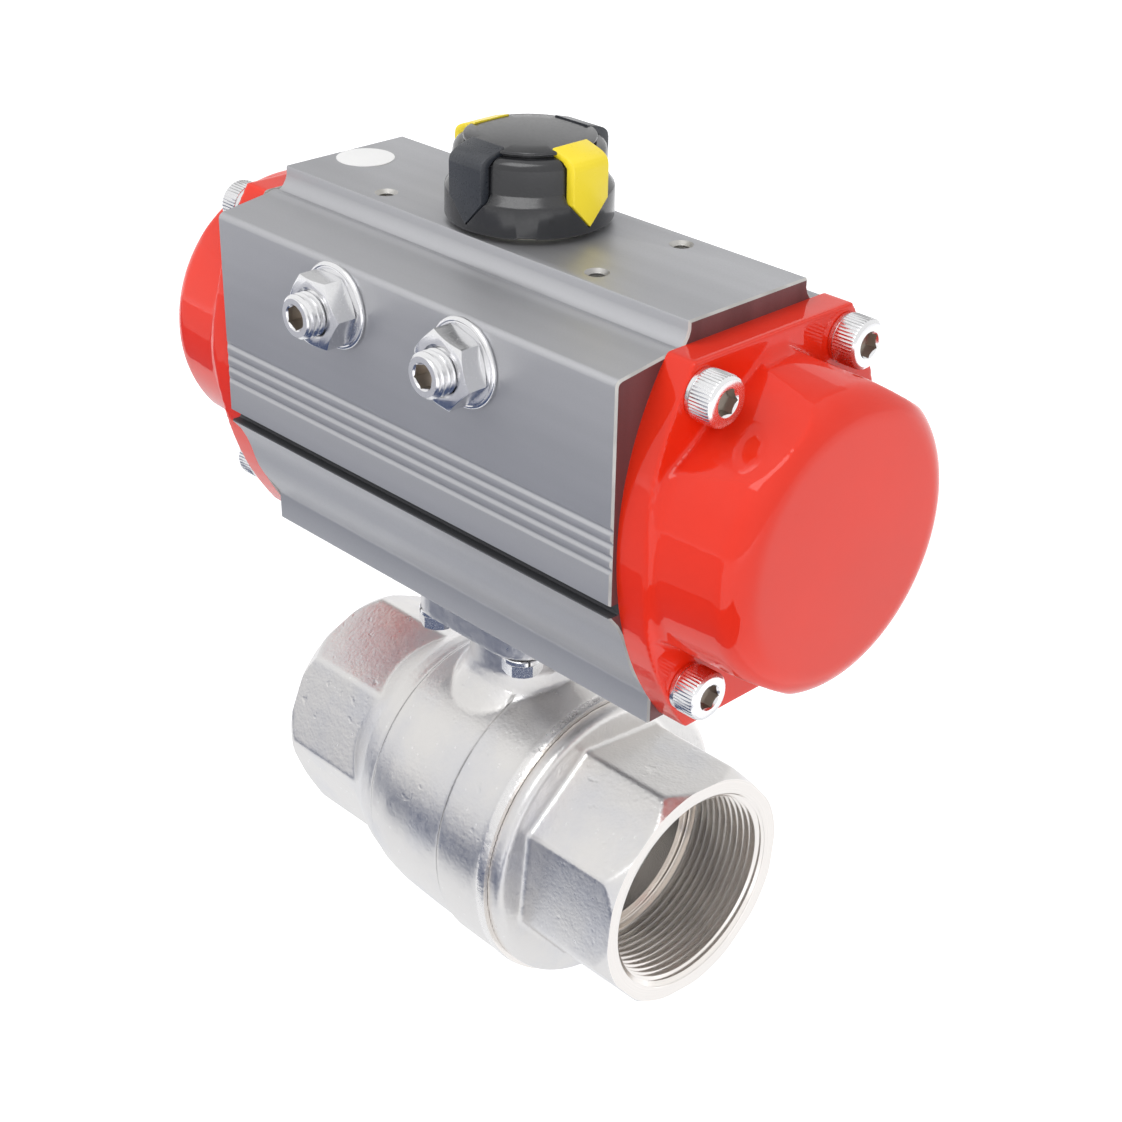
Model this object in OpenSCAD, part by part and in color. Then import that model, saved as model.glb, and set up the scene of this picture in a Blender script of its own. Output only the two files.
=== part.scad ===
// Spring-return pneumatic actuator on a two-piece full-bore ball valve, millimetres.
// Origin: where the pipe axis (X) crosses the stem axis (Z). The stop screws face -Y.
// Rest position: no air, springs long, pointers and ball bore in line with the pipe.

/* [Pipe ends] */
// Overall length of the valve from end face to end face
valve_l = 140; // [132:1:150]
// Bore of the flow path
flow_d = 50; // [46:0.5:50]
// Minor diameter of the 2 inch pipe thread
thread_d = 56.6; // [55:0.1:57]
// Depth of each pipe socket
socket_depth = 28.7; // [26:0.1:30]
// Diameter over the corners of the octagon ends
octagon_d = 73.6; // [72:0.1:78]
// Length of each octagon
octagon_l = 33.6; // [30:0.2:36]
// Turn of the screwed-in octagon about the pipe axis
octagon_turn = 16.7; // [0:0.1:45]
// End chamfer of the octagons, along the pipe
octagon_chamfer = 4; // [1:0.1:5]

/* [Valve body] */
// Ball diameter
ball_d = 76; // [74:0.5:77]
// Height from the pipe axis to the mounting pad
pad_z = 72; // [70:0.5:80]
// Side of the square mounting pad
pad_w = 49; // [47:0.5:56]
// Thickness of the mounting pad
pad_t = 10; // [8:0.5:12]
// Corner radius of the mounting pad
pad_corner = 11; // [8:0.5:12]
// Neck diameter under the pad
neck_d = 32; // [31:0.5:36]
// Widening of the neck at its foot, on the radius
flare = 7.6; // [4:0.2:9]
// Outer diameter of the body at the stem
barrel_d = 87.4; // [87:0.1:92]
// Thickness of the end connector's shoulder disc
disc_t = 4.8; // [4:0.1:5.5]
// Diameter of the end connector's shoulder disc
disc_d = 87.2; // [86:0.1:90]
// Where the shoulder disc meets the body, from the stem axis
joint_x = 31.6; // [31:0.1:33]
// Stem diameter
stem_d = 18; // [17:0.5:18.5]
// Square of the stem's drive end
square_w = 14; // [13:0.5:14]
// Depth of the flange spigot recess in the pad and in the foot
spigot_t = 3; // [2:0.5:4]

/* [Actuator body] */
// Length of the extrusion
act_l = 153; // [148:1:170]
// Roof of the extrusion above the piston bore
roof_t = 13.2; // [12:0.2:18]
// Width across the front and back walls
act_w = 89.2; // [89:0.2:96]
// Piston bore
bore_d = 80; // [76:0.5:80]
// Height of the bore axis above the foot
bore_h = 53.8; // [53:0.1:56]
// Width of the raised top plate
plate_w = 42.2; // [40:0.2:50]
// Width of the foot
foot_w = 58.4; // [57:0.2:64]
// Height of the straight foot side
foot_h = 8.6; // [6:0.2:10]
// Reach of the port face behind the stem axis
port_y = 52; // [51:0.5:56]
// Height of the port face
port_face_h = 40; // [38:1:44]
// Length of the port face
port_face_l = 120; // [80:1:130]
// Number of fine grooves in the front wall
groove_n = 4; // [2:1:6]
// Spacing of the fine grooves
groove_pitch = 3.5; // [2.5:0.1:4]
// Width of the long slot in the front wall
slot_w = 3.5; // [2:0.1:4]
// Depth of the long slot in the front wall
slot_depth = 3.4; // [2:0.1:3.6]

/* [Interfaces] */
// Length of the top bolt pattern
top_pattern_l = 80; // [80, 130]
// Width of the top bolt pattern
top_pattern_w = 30; // [25:1:32]
// Length of the bolt pattern at the air ports
port_pattern_l = 32; // [30:1:36]
// Height of the bolt pattern at the air ports
port_pattern_h = 24; // [22:1:26]
// Distance between the two air ports
port_pitch = 24; // [22:1:26]
// Minor diameter of the air port threads
port_d = 11.44; // [11:0.02:12]
// Depth of the air port threads
port_depth = 8; // [6:0.5:9]
// Tapping diameter of the accessory screws
tap_d = 4.2; // [4:0.1:4.6]
// Depth of the accessory screw holes
tap_depth = 8; // [6:0.5:9]
// Bolt circle of the flange between actuator and valve
flange_pcd = 50; // [48:0.5:50]
// Spigot diameter of that flange
flange_spigot = 35; // [33:0.5:36]

/* [End caps] */
// Reach of each cap beyond the extrusion
cap_l = 35.5; // [33:0.5:42]
// Thickness of the cap flange
cap_flange_t = 8.8; // [7:0.2:10]
// Width of the cap flange
cap_w = 85.6; // [84:0.2:88]
// Radius of the cap flange's bowed sides
cap_side_r = 85.2; // [80:0.5:95]
// Height of the cap flange above the bore axis
cap_top = 47.6; // [46:0.2:49]
// Depth of the cap flange below the bore axis
cap_bottom = 52.4; // [50:0.2:53]
// Diameter of the dome at the flange
dome_d = 83.2; // [82:0.2:85]
// Diameter of the dome at its outer end, before the edge radius
dome_end_d = 80.6; // [78:0.2:82]
// Edge radius of the dome
dome_edge = 8; // [5:0.5:10]
// Wall at the outer end of the dome
dome_wall = 4; // [3:0.5:6]
// Distance of the flats at the screws from the bore axis
flat_r = 38.3; // [37.5:0.1:39]
// Spring chamber diameter
chamber_d = 71; // [69:0.5:72]
// Cap screws: distance between them across the width
screw_y = 51; // [50:0.5:53]
// Cap screws: distance between them over the height
screw_z = 79; // [78:0.5:80]
// Cap screws: thread diameter
screw_d = 8; // [6, 8]
// Cap screws: engaged length in the body
screw_grip = 17; // [12:1:20]

/* [Drive] */
// Gear module
gear_m = 1.5; // [1.5:0.01:1.52]
// Teeth on the pinion
gear_n = 20; // [20, 20]
// Turn of the shaft, degrees
turn = 90; // [90, 90]
// Width of the rack and of the pinion's teeth
rack_h = 33; // [30:1:34]
// Piston head: inner face from the stem axis
piston_x = 34; // [33.5:0.1:35]
// Piston head thickness
piston_t = 14; // [13:0.5:15]
// Upper journal diameter of the shaft
journal_top_d = 24; // [22:0.5:24]
// Lower journal diameter of the shaft
journal_low_d = 32.4; // [31:0.2:32.6]
// Wall of the upper shaft bush
bush_wall = 1.5; // [1.2:0.1:2]
// Diameter of the shaft end under the indicator
shaft_end_d = 20; // [16:1:20]
// Height of the shaft end above the top plate
shaft_end_h = 15; // [13:0.5:16]

/* [Travel stops] */
// Distance between the two stop screws
stop_pitch = 50; // [48:1:52]
// Height of the stop screws above the bore axis
stop_rise = 33.2; // [32.5:0.1:34]
// Reach of the stop screws from the stem axis
stop_reach = 58.3; // [56:0.1:62]
// Stop screw thread diameter
stop_d = 12; // [10:1:12]
// Turn of the right stop nut
right_nut_turn = 45; // [0:1:60]
// Cam flat from the stem axis
cam_flat = 8; // [7:0.5:9]
// Cam reach
cam_r = 29.5; // [29:0.1:30]
// Cam thickness
cam_t = 10; // [8:0.5:10]

/* [Return springs] */
// Springs in each cap
spring_n = 6; // [4:1:6]
// Spring circle radius
spring_pcr = 24; // [23:0.5:24.5]
// Outer diameter of a spring
spring_d = 16.8; // [14:0.2:17]
// Wire diameter
wire_d = 2.6; // [2:0.1:3]
// Turns of a spring
spring_turns = 8; // [6:1:10]

/* [Indicator] */
// Diameter of the indicator's foot
ind_base_d = 44.2; // [42:0.2:48]
// Diameter of the indicator's drum
ind_drum_d = 40; // [38:0.2:41]
// Height of the indicator above the top plate
ind_h = 23.2; // [22.5:0.1:26]
// Width of a pointer
pointer_w = 12; // [9:0.5:13]
// Round sticker diameter
sticker_d = 16.4; // [10:0.2:17]

/* [Hidden] */
$fn = 64;
run_gap = 0.03;
seal_gap = 0.05;
part_gap = 0.3;
eps = 0.01;
half_l = act_l / 2;
bore_r = bore_d / 2;
act_h = bore_h + bore_r + roof_t;
top_z = pad_z + act_h;
bore_z = pad_z + bore_h;
front_y = act_w / 2;
stop_z = bore_z + stop_rise;
pitch_r = gear_m * gear_n / 2;
stroke = pitch_r * turn * PI / 180;
tip_r = pitch_r + gear_m;
root_gap = 1.25 * gear_m;
rack_pitch = PI * gear_m;
rack_root = pitch_r + root_gap;
backlash = 0.16;
pressure_angle = 20;
screw_r = screw_d / 2;
socket_x = valve_l / 2 - socket_depth;
oct_x = valve_l / 2 - octagon_l;
flare_h = 12.5;
ball_r = ball_d / 2;
ball_room = 0.8;
seat_w = 14.5;
seat_wall = 7.3;
seat_x = socket_x - 6.3;
seat_r = flow_d / 2 + seat_wall;
spigot_r = flange_spigot / 2;
cap_x = half_l + cap_flange_t;
cap_end = half_l + cap_l;
chamber_end = cap_end - dome_wall;
gasket_wire = 1.8;
gasket_r = bore_r + 1.4;
washer_t = 1.4;
nut_t = 7;
pad_washer_t = 1.6;
bolt_head_t = 4;
bolt_d = 6;
bush_r = journal_top_d / 2 + bush_wall;
cam_pocket_r = cam_r + 2;
cam_top = bore_z + bore_r - 3.3;
cam_low = cam_top - cam_t;
shoulder_r = 14;
seal_wire = 2.9;
channel_d = 4.4;
channel_y = 33;
channel_z = 31.2;
plug_l = 4;
port_inset = 4.5;
collar_top = ball_r + 6;
collar_low = ball_r + 2.2;
collar_r = 11.4;
blade_t = 8;
blade_low = ball_r - 5.4;
drive_l = 18;
nut_w = 24;
thrust_t = 2;
packing_r = 13;
packing_low = 51;
packing_ring_t = 3;
packing_n = 3;
gland_t = 3.2;
disc_spring_t = 1.2;
nut_recess_r = 14.5;
pocket_gap = 0.05;
pointer_x = 22.5;
pointer_in = 19.6;
pointer_top_in = 14.5;
ind_low = 1.5;

// Bodies along the axes

module rod_x(r, x0, x1) {
    translate([x0, 0, 0])
        rotate([0, 90, 0])
            cylinder(r = r, h = x1 - x0);
}

module rod_y(r, y0, y1) {
    translate([0, y0, 0])
        rotate([-90, 0, 0])
            cylinder(r = r, h = y1 - y0);
}

module rod_z(r, z0, z1) {
    translate([0, 0, z0])
        cylinder(r = r, h = z1 - z0);
}

// A flat shape in the YZ plane, drawn out along X
module bar_x(x0, x1) {
    translate([x0, 0, 0])
        rotate([90, 0, 90])
            linear_extrude(x1 - x0)
                children();
}

// A profile of (radius, x) points turned about the X axis
module turned_x() {
    rotate([0, 90, 0])
        rotate_extrude()
            children();
}

module ring(outer_r, inner_r, h) {
    difference() {
        cylinder(r = outer_r, h = h);
        translate([0, 0, -1])
            cylinder(r = inner_r, h = h + 2);
    }
}

module torus(centre_r, wire_r) {
    rotate_extrude()
        translate([centre_r, 0])
            circle(r = wire_r);
}

module hexagon(across_flats) {
    circle(d = across_flats / cos(30), $fn = 6);
}

// The pieces of the left half are the right ones, turned half round the stem axis
module half_turn(side) {
    rotate([0, 0, side > 0 ? 0 : 180])
        children();
}

module at_four(dx, dy) {
    for (sx = [-1, 1], sy = [-1, 1])
        translate([sx * dx / 2, sy * dy / 2])
            children();
}

// Actuator body

// Lower part of each side of the section, height measured from the foot
function side_outline() =
    let (foot = foot_w / 2)
    [
        [foot, 0],
        [foot, foot_h],
        [foot + 1.1, foot_h + 1.8],
        [foot + 7.3, foot_h + 11.2],
        [foot + 9.1, foot_h + 17.5],
        [front_y - 0.7, foot_h + 26.8],
        [front_y, foot_h + 28.1]
    ];

// Front side of the section, from the foot to the top plate
function front_outline() =
    let (plate = plate_w / 2)
    concat(side_outline(), [
        [front_y, act_h - 9.4],
        [front_y - 1, act_h - 8.4],
        [plate + 6, act_h - 6.3],
        [plate + 2.3, act_h - 5.6],
        [plate, act_h - 3.2],
        [plate, act_h]
    ]);

// Back side of the section, which leans in above the port face
function back_outline() =
    let (plate = plate_w / 2)
    concat(side_outline(), [
        [front_y, bore_h + port_face_h / 2],
        [front_y - 6.6, act_h - 22],
        [front_y - 13, act_h - 11.5],
        [plate + 6.4, act_h - 6.5],
        [plate + 2.3, act_h - 5.6],
        [plate, act_h - 3.2],
        [plate, act_h]
    ]);

module body_section() {
    slot_low = foot_h + 28.1;
    groove_low = act_h - 57.7;
    front = front_outline();
    other = [for (i = [len(front) - 1:-1:0]) [-front[i][0], front[i][1]]];
    difference() {
        polygon(concat(back_outline(), other));
        translate([-front_y - 1, slot_low])
            square([slot_depth + 1, slot_w]);
        for (i = [0:groove_n - 1])
            translate([-front_y - 0.5, groove_low + i * groove_pitch])
                square([0.9, 0.9]);
    }
}

module cap_screw_places() {
    translate([0, 0, bore_z])
        rotate([90, 0, 90])
            at_four(screw_y, screw_z)
                children();
}

module actuator_body() {
    color([0.58, 0.59, 0.6])
        difference() {
            translate([0, 0, pad_z]) {
                bar_x(-half_l, half_l)
                    body_section();
                bar_x(-port_face_l / 2, port_face_l / 2)
                    translate([0, bore_h - port_face_h / 2])
                        square([port_y, port_face_h]);
            }
            translate([0, 0, bore_z])
                rod_x(bore_r, -half_l - 1, half_l + 1);
            rod_z(bush_r, bore_z, top_z + 1);
            rod_z(spigot_r, pad_z - 1, bore_z);
            rod_z(cam_pocket_r, cam_low - 0.5, cam_top + 1);
            for (s = [-1, 1]) {
                translate([s * stop_pitch / 2, 0, stop_z])
                    rod_y(stop_d / 2 + seal_gap, -front_y - 1, -cam_flat);
                mirror([s < 0 ? 1 : 0, 0, 0])
                    translate([half_l - screw_grip - 1, 0, 0])
                        cap_screw_places()
                            cylinder(r = screw_r + seal_gap, h = screw_grip + 2);
            }
            translate([0, 0, pad_z - 1])
                rotate([0, 0, 45])
                    for (a = [0:90:270])
                        rotate([0, 0, a])
                            translate([flange_pcd / 2, 0, 0])
                                cylinder(d = bolt_d + 2 * seal_gap, h = 12);
            translate([0, 0, top_z - tap_depth])
                at_four(top_pattern_l, top_pattern_w)
                    cylinder(d = tap_d, h = tap_depth + 1);
            translate([0, port_y + 1, bore_z])
                rotate([90, 0, 0]) {
                    at_four(port_pattern_l, port_pattern_h)
                        cylinder(d = tap_d, h = tap_depth + 1);
                    for (s = [-1, 1])
                        translate([s * port_pitch / 2, 0, 0])
                            cylinder(d = port_d, h = port_depth + 1);
                }
            air_channels();
        }
}

// The first port opens between the pistons, the second one behind them
module air_channels() {
    run = port_y - port_inset - channel_y;
    translate([-port_pitch / 2, 0, bore_z])
        rod_y(3, bore_r - 4, port_y - 2);
    translate([port_pitch / 2, port_y - port_inset, bore_z])
        rotate([atan2(run, channel_z), 0, 0])
            cylinder(d = channel_d, h = norm([run, channel_z]));
    translate([0, channel_y, bore_z + channel_z])
        rod_x(channel_d / 2, -half_l - 1, half_l + 1);
    for (s = [-1, 1])
        translate([s * (half_l - plug_l - 2.5), channel_y, bore_z + channel_z])
            rotate([atan2(channel_y, channel_z), 0, 0])
                mirror([0, 0, 1])
                    cylinder(d = 3.4, h = 9);
}

module channel_plugs() {
    color([0.75, 0.66, 0.35])
        for (s = [-1, 1])
            translate([s * (half_l - plug_l / 2), channel_y, bore_z + channel_z])
                rod_x(channel_d / 2 - run_gap, -plug_l / 2, plug_l / 2);
}

module inspection_sticker() {
    color([0.95, 0.95, 0.93])
        translate([-67.3, 0, top_z])
            cylinder(d = sticker_d, h = 0.15);
}

// End caps, drawn for the right side

module cap_outline() {
    bow = cap_side_r - cap_w / 2;
    intersection() {
        translate([-bow, 0])
            circle(r = cap_side_r, $fn = 180);
        translate([bow, 0])
            circle(r = cap_side_r, $fn = 180);
        translate([-cap_w, -cap_bottom])
            square([2 * cap_w, cap_bottom + cap_top]);
    }
}

module dome() {
    base_r = dome_d / 2;
    end_r = dome_end_d / 2;
    edge_r = end_r - dome_edge;
    turned_x() {
        polygon([
            [0, half_l + 1],
            [base_r, half_l + 1],
            [base_r, cap_x],
            [end_r, cap_end - dome_edge],
            [edge_r, cap_end - dome_edge],
            [edge_r, cap_end],
            [0, cap_end]
        ]);
        intersection() {
            translate([edge_r, cap_end - dome_edge])
                circle(r = dome_edge);
            translate([edge_r, cap_end - dome_edge])
                square(dome_edge);
        }
    }
}

module end_cap(side) {
    diagonal = atan2(screw_z, screw_y);
    chamber_r = chamber_d / 2;
    color([0.87, 0.17, 0.12])
        half_turn(side)
            difference() {
                translate([0, 0, bore_z])
                    difference() {
                        union() {
                            bar_x(half_l, cap_x)
                                cap_outline();
                            difference() {
                                dome();
                                for (a = [diagonal, 180 - diagonal, 180 + diagonal, -diagonal])
                                    rotate([a, 0, 0])
                                        translate([cap_x, flat_r, -40])
                                            cube([cap_l, 20, 80]);
                            }
                        }
                        turned_x()
                            difference() {
                                translate([0, half_l - 1])
                                    square([chamber_r, chamber_end - half_l + 1]);
                                translate([chamber_r - 3, chamber_end - 3])
                                    difference() {
                                        square(4);
                                        circle(r = 3);
                                    }
                            }
                        turned_x()
                            translate([gasket_r - gasket_wire / 2 - seal_gap, half_l - 1])
                                square([gasket_wire + 2 * seal_gap, gasket_wire + 1 + seal_gap]);
                    }
                translate([half_l - 1, 0, 0])
                    cap_screw_places()
                        cylinder(r = screw_r + 0.3, h = cap_flange_t + 2);
            }
    color([0.87, 0.17, 0.12])
        half_turn(side)
            spring_places()
                rod_x(4.2, chamber_end - 6, chamber_end + eps);
}

module end_cap_left() {
    end_cap(-1);
}

module end_cap_right() {
    end_cap(1);
}

module cap_gasket(side) {
    color([0.12, 0.12, 0.13])
        half_turn(side)
            translate([half_l + gasket_wire / 2, 0, bore_z])
                rotate([0, 90, 0])
                    torus(gasket_r, gasket_wire / 2);
}

module cap_gasket_left() {
    cap_gasket(-1);
}

module cap_gasket_right() {
    cap_gasket(1);
}

module socket_screw(d, head_d, head_h, socket_w, shank) {
    difference() {
        union() {
            translate([0, 0, -shank])
                cylinder(d = d, h = shank + eps);
            rotate_extrude()
                polygon([
                    [0, 0],
                    [head_d / 2, 0],
                    [head_d / 2, head_h - 0.8],
                    [head_d / 2 - 0.8, head_h],
                    [0, head_h]
                ]);
        }
        translate([0, 0, head_h / 2])
            linear_extrude(head_h)
                hexagon(socket_w);
    }
}

module cap_screws(side) {
    color([0.85, 0.86, 0.87])
        half_turn(side)
            translate([cap_x, 0, 0])
                cap_screw_places()
                    socket_screw(screw_d, 1.5 * screw_d + 1, screw_d, 0.75 * screw_d,
                        cap_flange_t + screw_grip);
}

module cap_screws_left() {
    cap_screws(-1);
}

module cap_screws_right() {
    cap_screws(1);
}

// Shaft bushes

module upper_bearing() {
    color([0.9, 0.9, 0.86])
        translate([0, 0, top_z - 13])
            ring(bush_r, journal_top_d / 2 + run_gap, 8);
}

module lower_bearing() {
    color([0.9, 0.9, 0.86])
        translate([0, 0, pad_z + 8.2])
            ring(spigot_r, journal_low_d / 2 + run_gap, 5.2);
}

// Travel stops

module stop_places() {
    for (s = [-1, 1])
        translate([s * stop_pitch / 2, 0, stop_z])
            children();
}

module stop_washers() {
    color([0.84, 0.85, 0.86])
        stop_places()
            translate([0, -front_y, 0])
                rotate([90, 0, 0])
                    ring(11.8, stop_d / 2 + 1.2, washer_t);
}

module stop_seals() {
    color([0.12, 0.12, 0.13])
        stop_places()
            translate([0, -front_y - washer_t / 2, 0])
                rotate([90, 0, 0])
                    torus(stop_d / 2 + 0.62, 0.52);
}

module stop_nuts() {
    across = 1.5 * stop_d;
    color([0.84, 0.85, 0.86])
        for (s = [-1, 1])
            translate([s * stop_pitch / 2, -front_y - washer_t, stop_z])
                rotate([90, 0, 0])
                    difference() {
                        intersection() {
                            linear_extrude(nut_t)
                                rotate(s > 0 ? right_nut_turn : 0)
                                    hexagon(across);
                            rotate_extrude()
                                polygon([
                                    [0, 0],
                                    [across / 2 + 0.4, 0],
                                    [across / 2 + 2, 0.9],
                                    [across / 2 + 2, nut_t - 0.9],
                                    [across / 2 + 0.4, nut_t],
                                    [0, nut_t]
                                ]);
                        }
                        translate([0, 0, -1])
                            cylinder(r = stop_d / 2 + seal_gap, h = nut_t + 2);
                    }
}

module stop_screw(side) {
    dog_r = stop_d / 3;
    color([0.84, 0.85, 0.86])
        translate([side * stop_pitch / 2, 0, stop_z])
            difference() {
                union() {
                    rod_y(stop_d / 2, 1 - stop_reach, -26);
                    translate([0, -stop_reach, 0])
                        rotate([-90, 0, 0])
                            cylinder(r1 = stop_d / 2 - 0.9, r2 = stop_d / 2, h = 1 + eps);
                    rod_y(dog_r, -27, -cam_flat - part_gap);
                }
                translate([0, -stop_reach - 1, 0])
                    rotate([-90, 0, 0])
                        linear_extrude(7)
                            hexagon(stop_d / 2);
            }
}

module stop_screw_left() {
    stop_screw(-1);
}

module stop_screw_right() {
    stop_screw(1);
}

module stop_cam() {
    color([0.62, 0.6, 0.55])
        translate([0, 0, cam_low])
            difference() {
                linear_extrude(cam_t)
                    union() {
                        circle(r = 17);
                        intersection() {
                            circle(r = cam_r);
                            translate([-cam_flat, -cam_flat])
                                square(2 * cam_r);
                        }
                    }
                translate([0, 0, -1])
                    cylinder(d = journal_top_d + 2 * run_gap, h = cam_t + 2);
                key_space(pocket_gap);
            }
}

module key_space(gap) {
    translate([journal_top_d / 2 - 1.8 - gap, -2 - gap, 0.5 - gap])
        cube([3.6 + 2 * gap, 4 + 2 * gap, cam_t - 1 + 2 * gap]);
}

module cam_key() {
    color([0.6, 0.6, 0.6])
        translate([0, 0, cam_low])
            key_space(0);
}

// Pinion and shaft

// A flank point of the involute at roll angle t, on the side s of the tooth's middle
function involute(base_r, t, half, s) =
    let (a = t * 180 / PI, roll = atan(t), r = base_r * sqrt(1 + t * t))
    [r, s * (half - (a - roll))];

function gear_tooth() =
    let (
        base_r = pitch_r * cos(pressure_angle),
        at_pitch = tan(pressure_angle) * 180 / PI - pressure_angle,
        half = 90 / gear_n - backlash / pitch_r * 90 / PI + at_pitch,
        t_tip = sqrt(pow(tip_r / base_r, 2) - 1),
        root_r = pitch_r - root_gap,
        steps = 4,
        right = [for (i = [0:steps]) involute(base_r, t_tip * i / steps, half, -1)],
        left = [for (i = [steps:-1:0]) involute(base_r, t_tip * i / steps, half, 1)]
    )
    concat([[root_r - 1, -half]], right, left, [[root_r - 1, half]]);

module gear_section() {
    tooth = gear_tooth();
    circle(r = pitch_r - root_gap);
    for (i = [0:gear_n - 1])
        rotate(i * 360 / gear_n)
            polygon([for (p = tooth) [p[0] * cos(p[1]), p[0] * sin(p[1])]]);
}

module pinion() {
    low = pad_z + spigot_t + 0.5;
    gear_low = bore_z - rack_h / 2 - 1;
    gear_top = bore_z + rack_h / 2 + 1;
    top = top_z + shaft_end_h;
    journal_r = journal_top_d / 2;
    low_r = journal_low_d / 2;
    clip_z = top_z + 0.8;
    color([0.7, 0.7, 0.69])
        difference() {
            union() {
                rotate_extrude()
                    polygon([
                        [0, low],
                        [low_r, low],
                        [low_r, low + 1.2],
                        [low_r - 1.8, low + 1.2],
                        [low_r - 1.8, low + 4.4],
                        [low_r, low + 4.4],
                        [low_r, pad_z + 13.6],
                        [shoulder_r, pad_z + 13.6],
                        [shoulder_r, gear_low + eps],
                        [pitch_r - 3, gear_low + eps],
                        [pitch_r - 3, gear_top - eps],
                        [shoulder_r, gear_top - eps],
                        [shoulder_r, cam_low],
                        [journal_r, cam_low],
                        [journal_r, top_z - 4.6],
                        [journal_r - 1.6, top_z - 4.6],
                        [journal_r - 1.6, top_z - 1.4],
                        [journal_r, top_z - 1.4],
                        [journal_r, clip_z],
                        [journal_r - 0.9, clip_z],
                        [journal_r - 0.9, clip_z + 1.1],
                        [journal_r, clip_z + 1.1],
                        [journal_r, clip_z + 2.6],
                        [shaft_end_d / 2, clip_z + 3.4],
                        [shaft_end_d / 2, top - 0.6],
                        [shaft_end_d / 2 - 0.6, top],
                        [0, top]
                    ]);
                translate([0, 0, gear_low])
                    linear_extrude(gear_top - gear_low)
                        gear_section();
            }
            translate([-(square_w / 2 + seal_gap), -(square_w / 2 + seal_gap), low - 1])
                cube([square_w + 2 * seal_gap, square_w + 2 * seal_gap, 17]);
            translate([-2, -shaft_end_d, top - 4])
                cube([4, 2 * shaft_end_d, 5]);
            rod_z(3 + seal_gap, top - 13, top + 1);
            translate([0, 0, cam_low])
                key_space(pocket_gap);
        }
}

module shaft_seals() {
    color([0.12, 0.12, 0.13]) {
        translate([0, 0, pad_z + spigot_t + 3.3])
            torus(spigot_r - seal_gap - 1.5, 1.5);
        translate([0, 0, top_z - 3])
            torus(bush_r - seal_gap - 1.5, 1.5);
    }
}

module thrust_washer() {
    color([0.88, 0.88, 0.84])
        translate([0, 0, top_z + seal_gap])
            ring(17, journal_top_d / 2 + seal_gap, 0.75 - seal_gap);
}

module shaft_circlip() {
    clip_r = journal_top_d / 2;
    color([0.45, 0.45, 0.46])
        translate([0, 0, top_z + 0.85])
            difference() {
                union() {
                    ring(clip_r + 2.2, clip_r - 0.85, 1);
                    for (s = [-1, 1])
                        translate([clip_r + 0.6, s * 3.4, 0])
                            cylinder(r = 2.2, h = 1);
                }
                translate([clip_r - 3, -1.6, -1])
                    cube([8, 3.2, 3]);
                translate([0, 0, -1])
                    cylinder(r = clip_r - 0.85, h = 3);
                for (s = [-1, 1])
                    translate([clip_r + 0.8, s * 3.6, -1])
                        cylinder(r = 0.9, h = 3);
            }
}

// Pistons, drawn for the right side

module rack_section() {
    tilt = gear_m * tan(pressure_angle);
    low_tilt = root_gap * tan(pressure_angle);
    half = rack_pitch / 4 - backlash / 2;
    for (i = [-7:2])
        translate([(i + 0.5) * rack_pitch, -pitch_r])
            polygon([
                [-half - low_tilt, -root_gap - 0.5],
                [half + low_tilt, -root_gap - 0.5],
                [half + low_tilt, -root_gap],
                [half - tilt, gear_m],
                [tilt - half, gear_m],
                [-half - low_tilt, -root_gap]
            ]);
}

module spring_places() {
    translate([0, 0, bore_z])
        for (i = [0:spring_n - 1])
            rotate([i * 360 / spring_n, 0, 0])
                translate([0, spring_pcr, 0])
                    children();
}

module rack_pad_space(gap) {
    intersection() {
        rod_x(bore_r - 0.15, -30, -6, $fn = 240);
        translate([-28 - gap, -bore_r, -8 - gap])
            cube([20 + 2 * gap, 2.6 + gap, 16 + 2 * gap]);
    }
}

module piston(side) {
    head_end = piston_x + piston_t;
    head_r = bore_r - part_gap;
    color([0.72, 0.72, 0.71])
        half_turn(side)
            difference() {
                translate([0, 0, bore_z])
                    difference() {
                        union() {
                            turned_x()
                                polygon([
                                    [0, piston_x],
                                    [head_r, piston_x],
                                    [head_r, piston_x + 2.2],
                                    [head_r - 2.8, piston_x + 2.2],
                                    [head_r - 2.8, piston_x + 5.4],
                                    [head_r, piston_x + 5.4],
                                    [head_r, piston_x + 8],
                                    [head_r - 1.5, piston_x + 8],
                                    [head_r - 1.5, piston_x + 12],
                                    [head_r, piston_x + 12],
                                    [head_r, head_end],
                                    [0, head_end]
                                ]);
                            intersection() {
                                rod_x(head_r, 1 - piston_x, piston_x + 1);
                                translate([1 - piston_x, -bore_r, -rack_h / 2])
                                    cube([2 * piston_x, bore_r - rack_root, rack_h]);
                            }
                            intersection() {
                                translate([0, 0, -rack_h / 2])
                                    linear_extrude(rack_h)
                                        rack_section();
                                translate([1 - piston_x, -bore_r, -rack_h])
                                    cube([2 * piston_x, bore_r, 2 * rack_h]);
                            }
                        }
                        rack_pad_space(pocket_gap);
                        rod_x(11, head_end - 7, head_end + 1);
                    }
                spring_places()
                    rod_x(spring_d / 2 + 0.5, head_end - 2, head_end + 1);
            }
}

module piston_left() {
    piston(-1);
}

module piston_right() {
    piston(1);
}

module piston_seal(side) {
    color([0.12, 0.12, 0.13])
        half_turn(side)
            translate([piston_x + 3.8, 0, bore_z])
                rotate([0, 90, 0])
                    torus(bore_r - seal_gap - 1.5, 1.5);
}

module piston_seal_left() {
    piston_seal(-1);
}

module piston_seal_right() {
    piston_seal(1);
}

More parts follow.
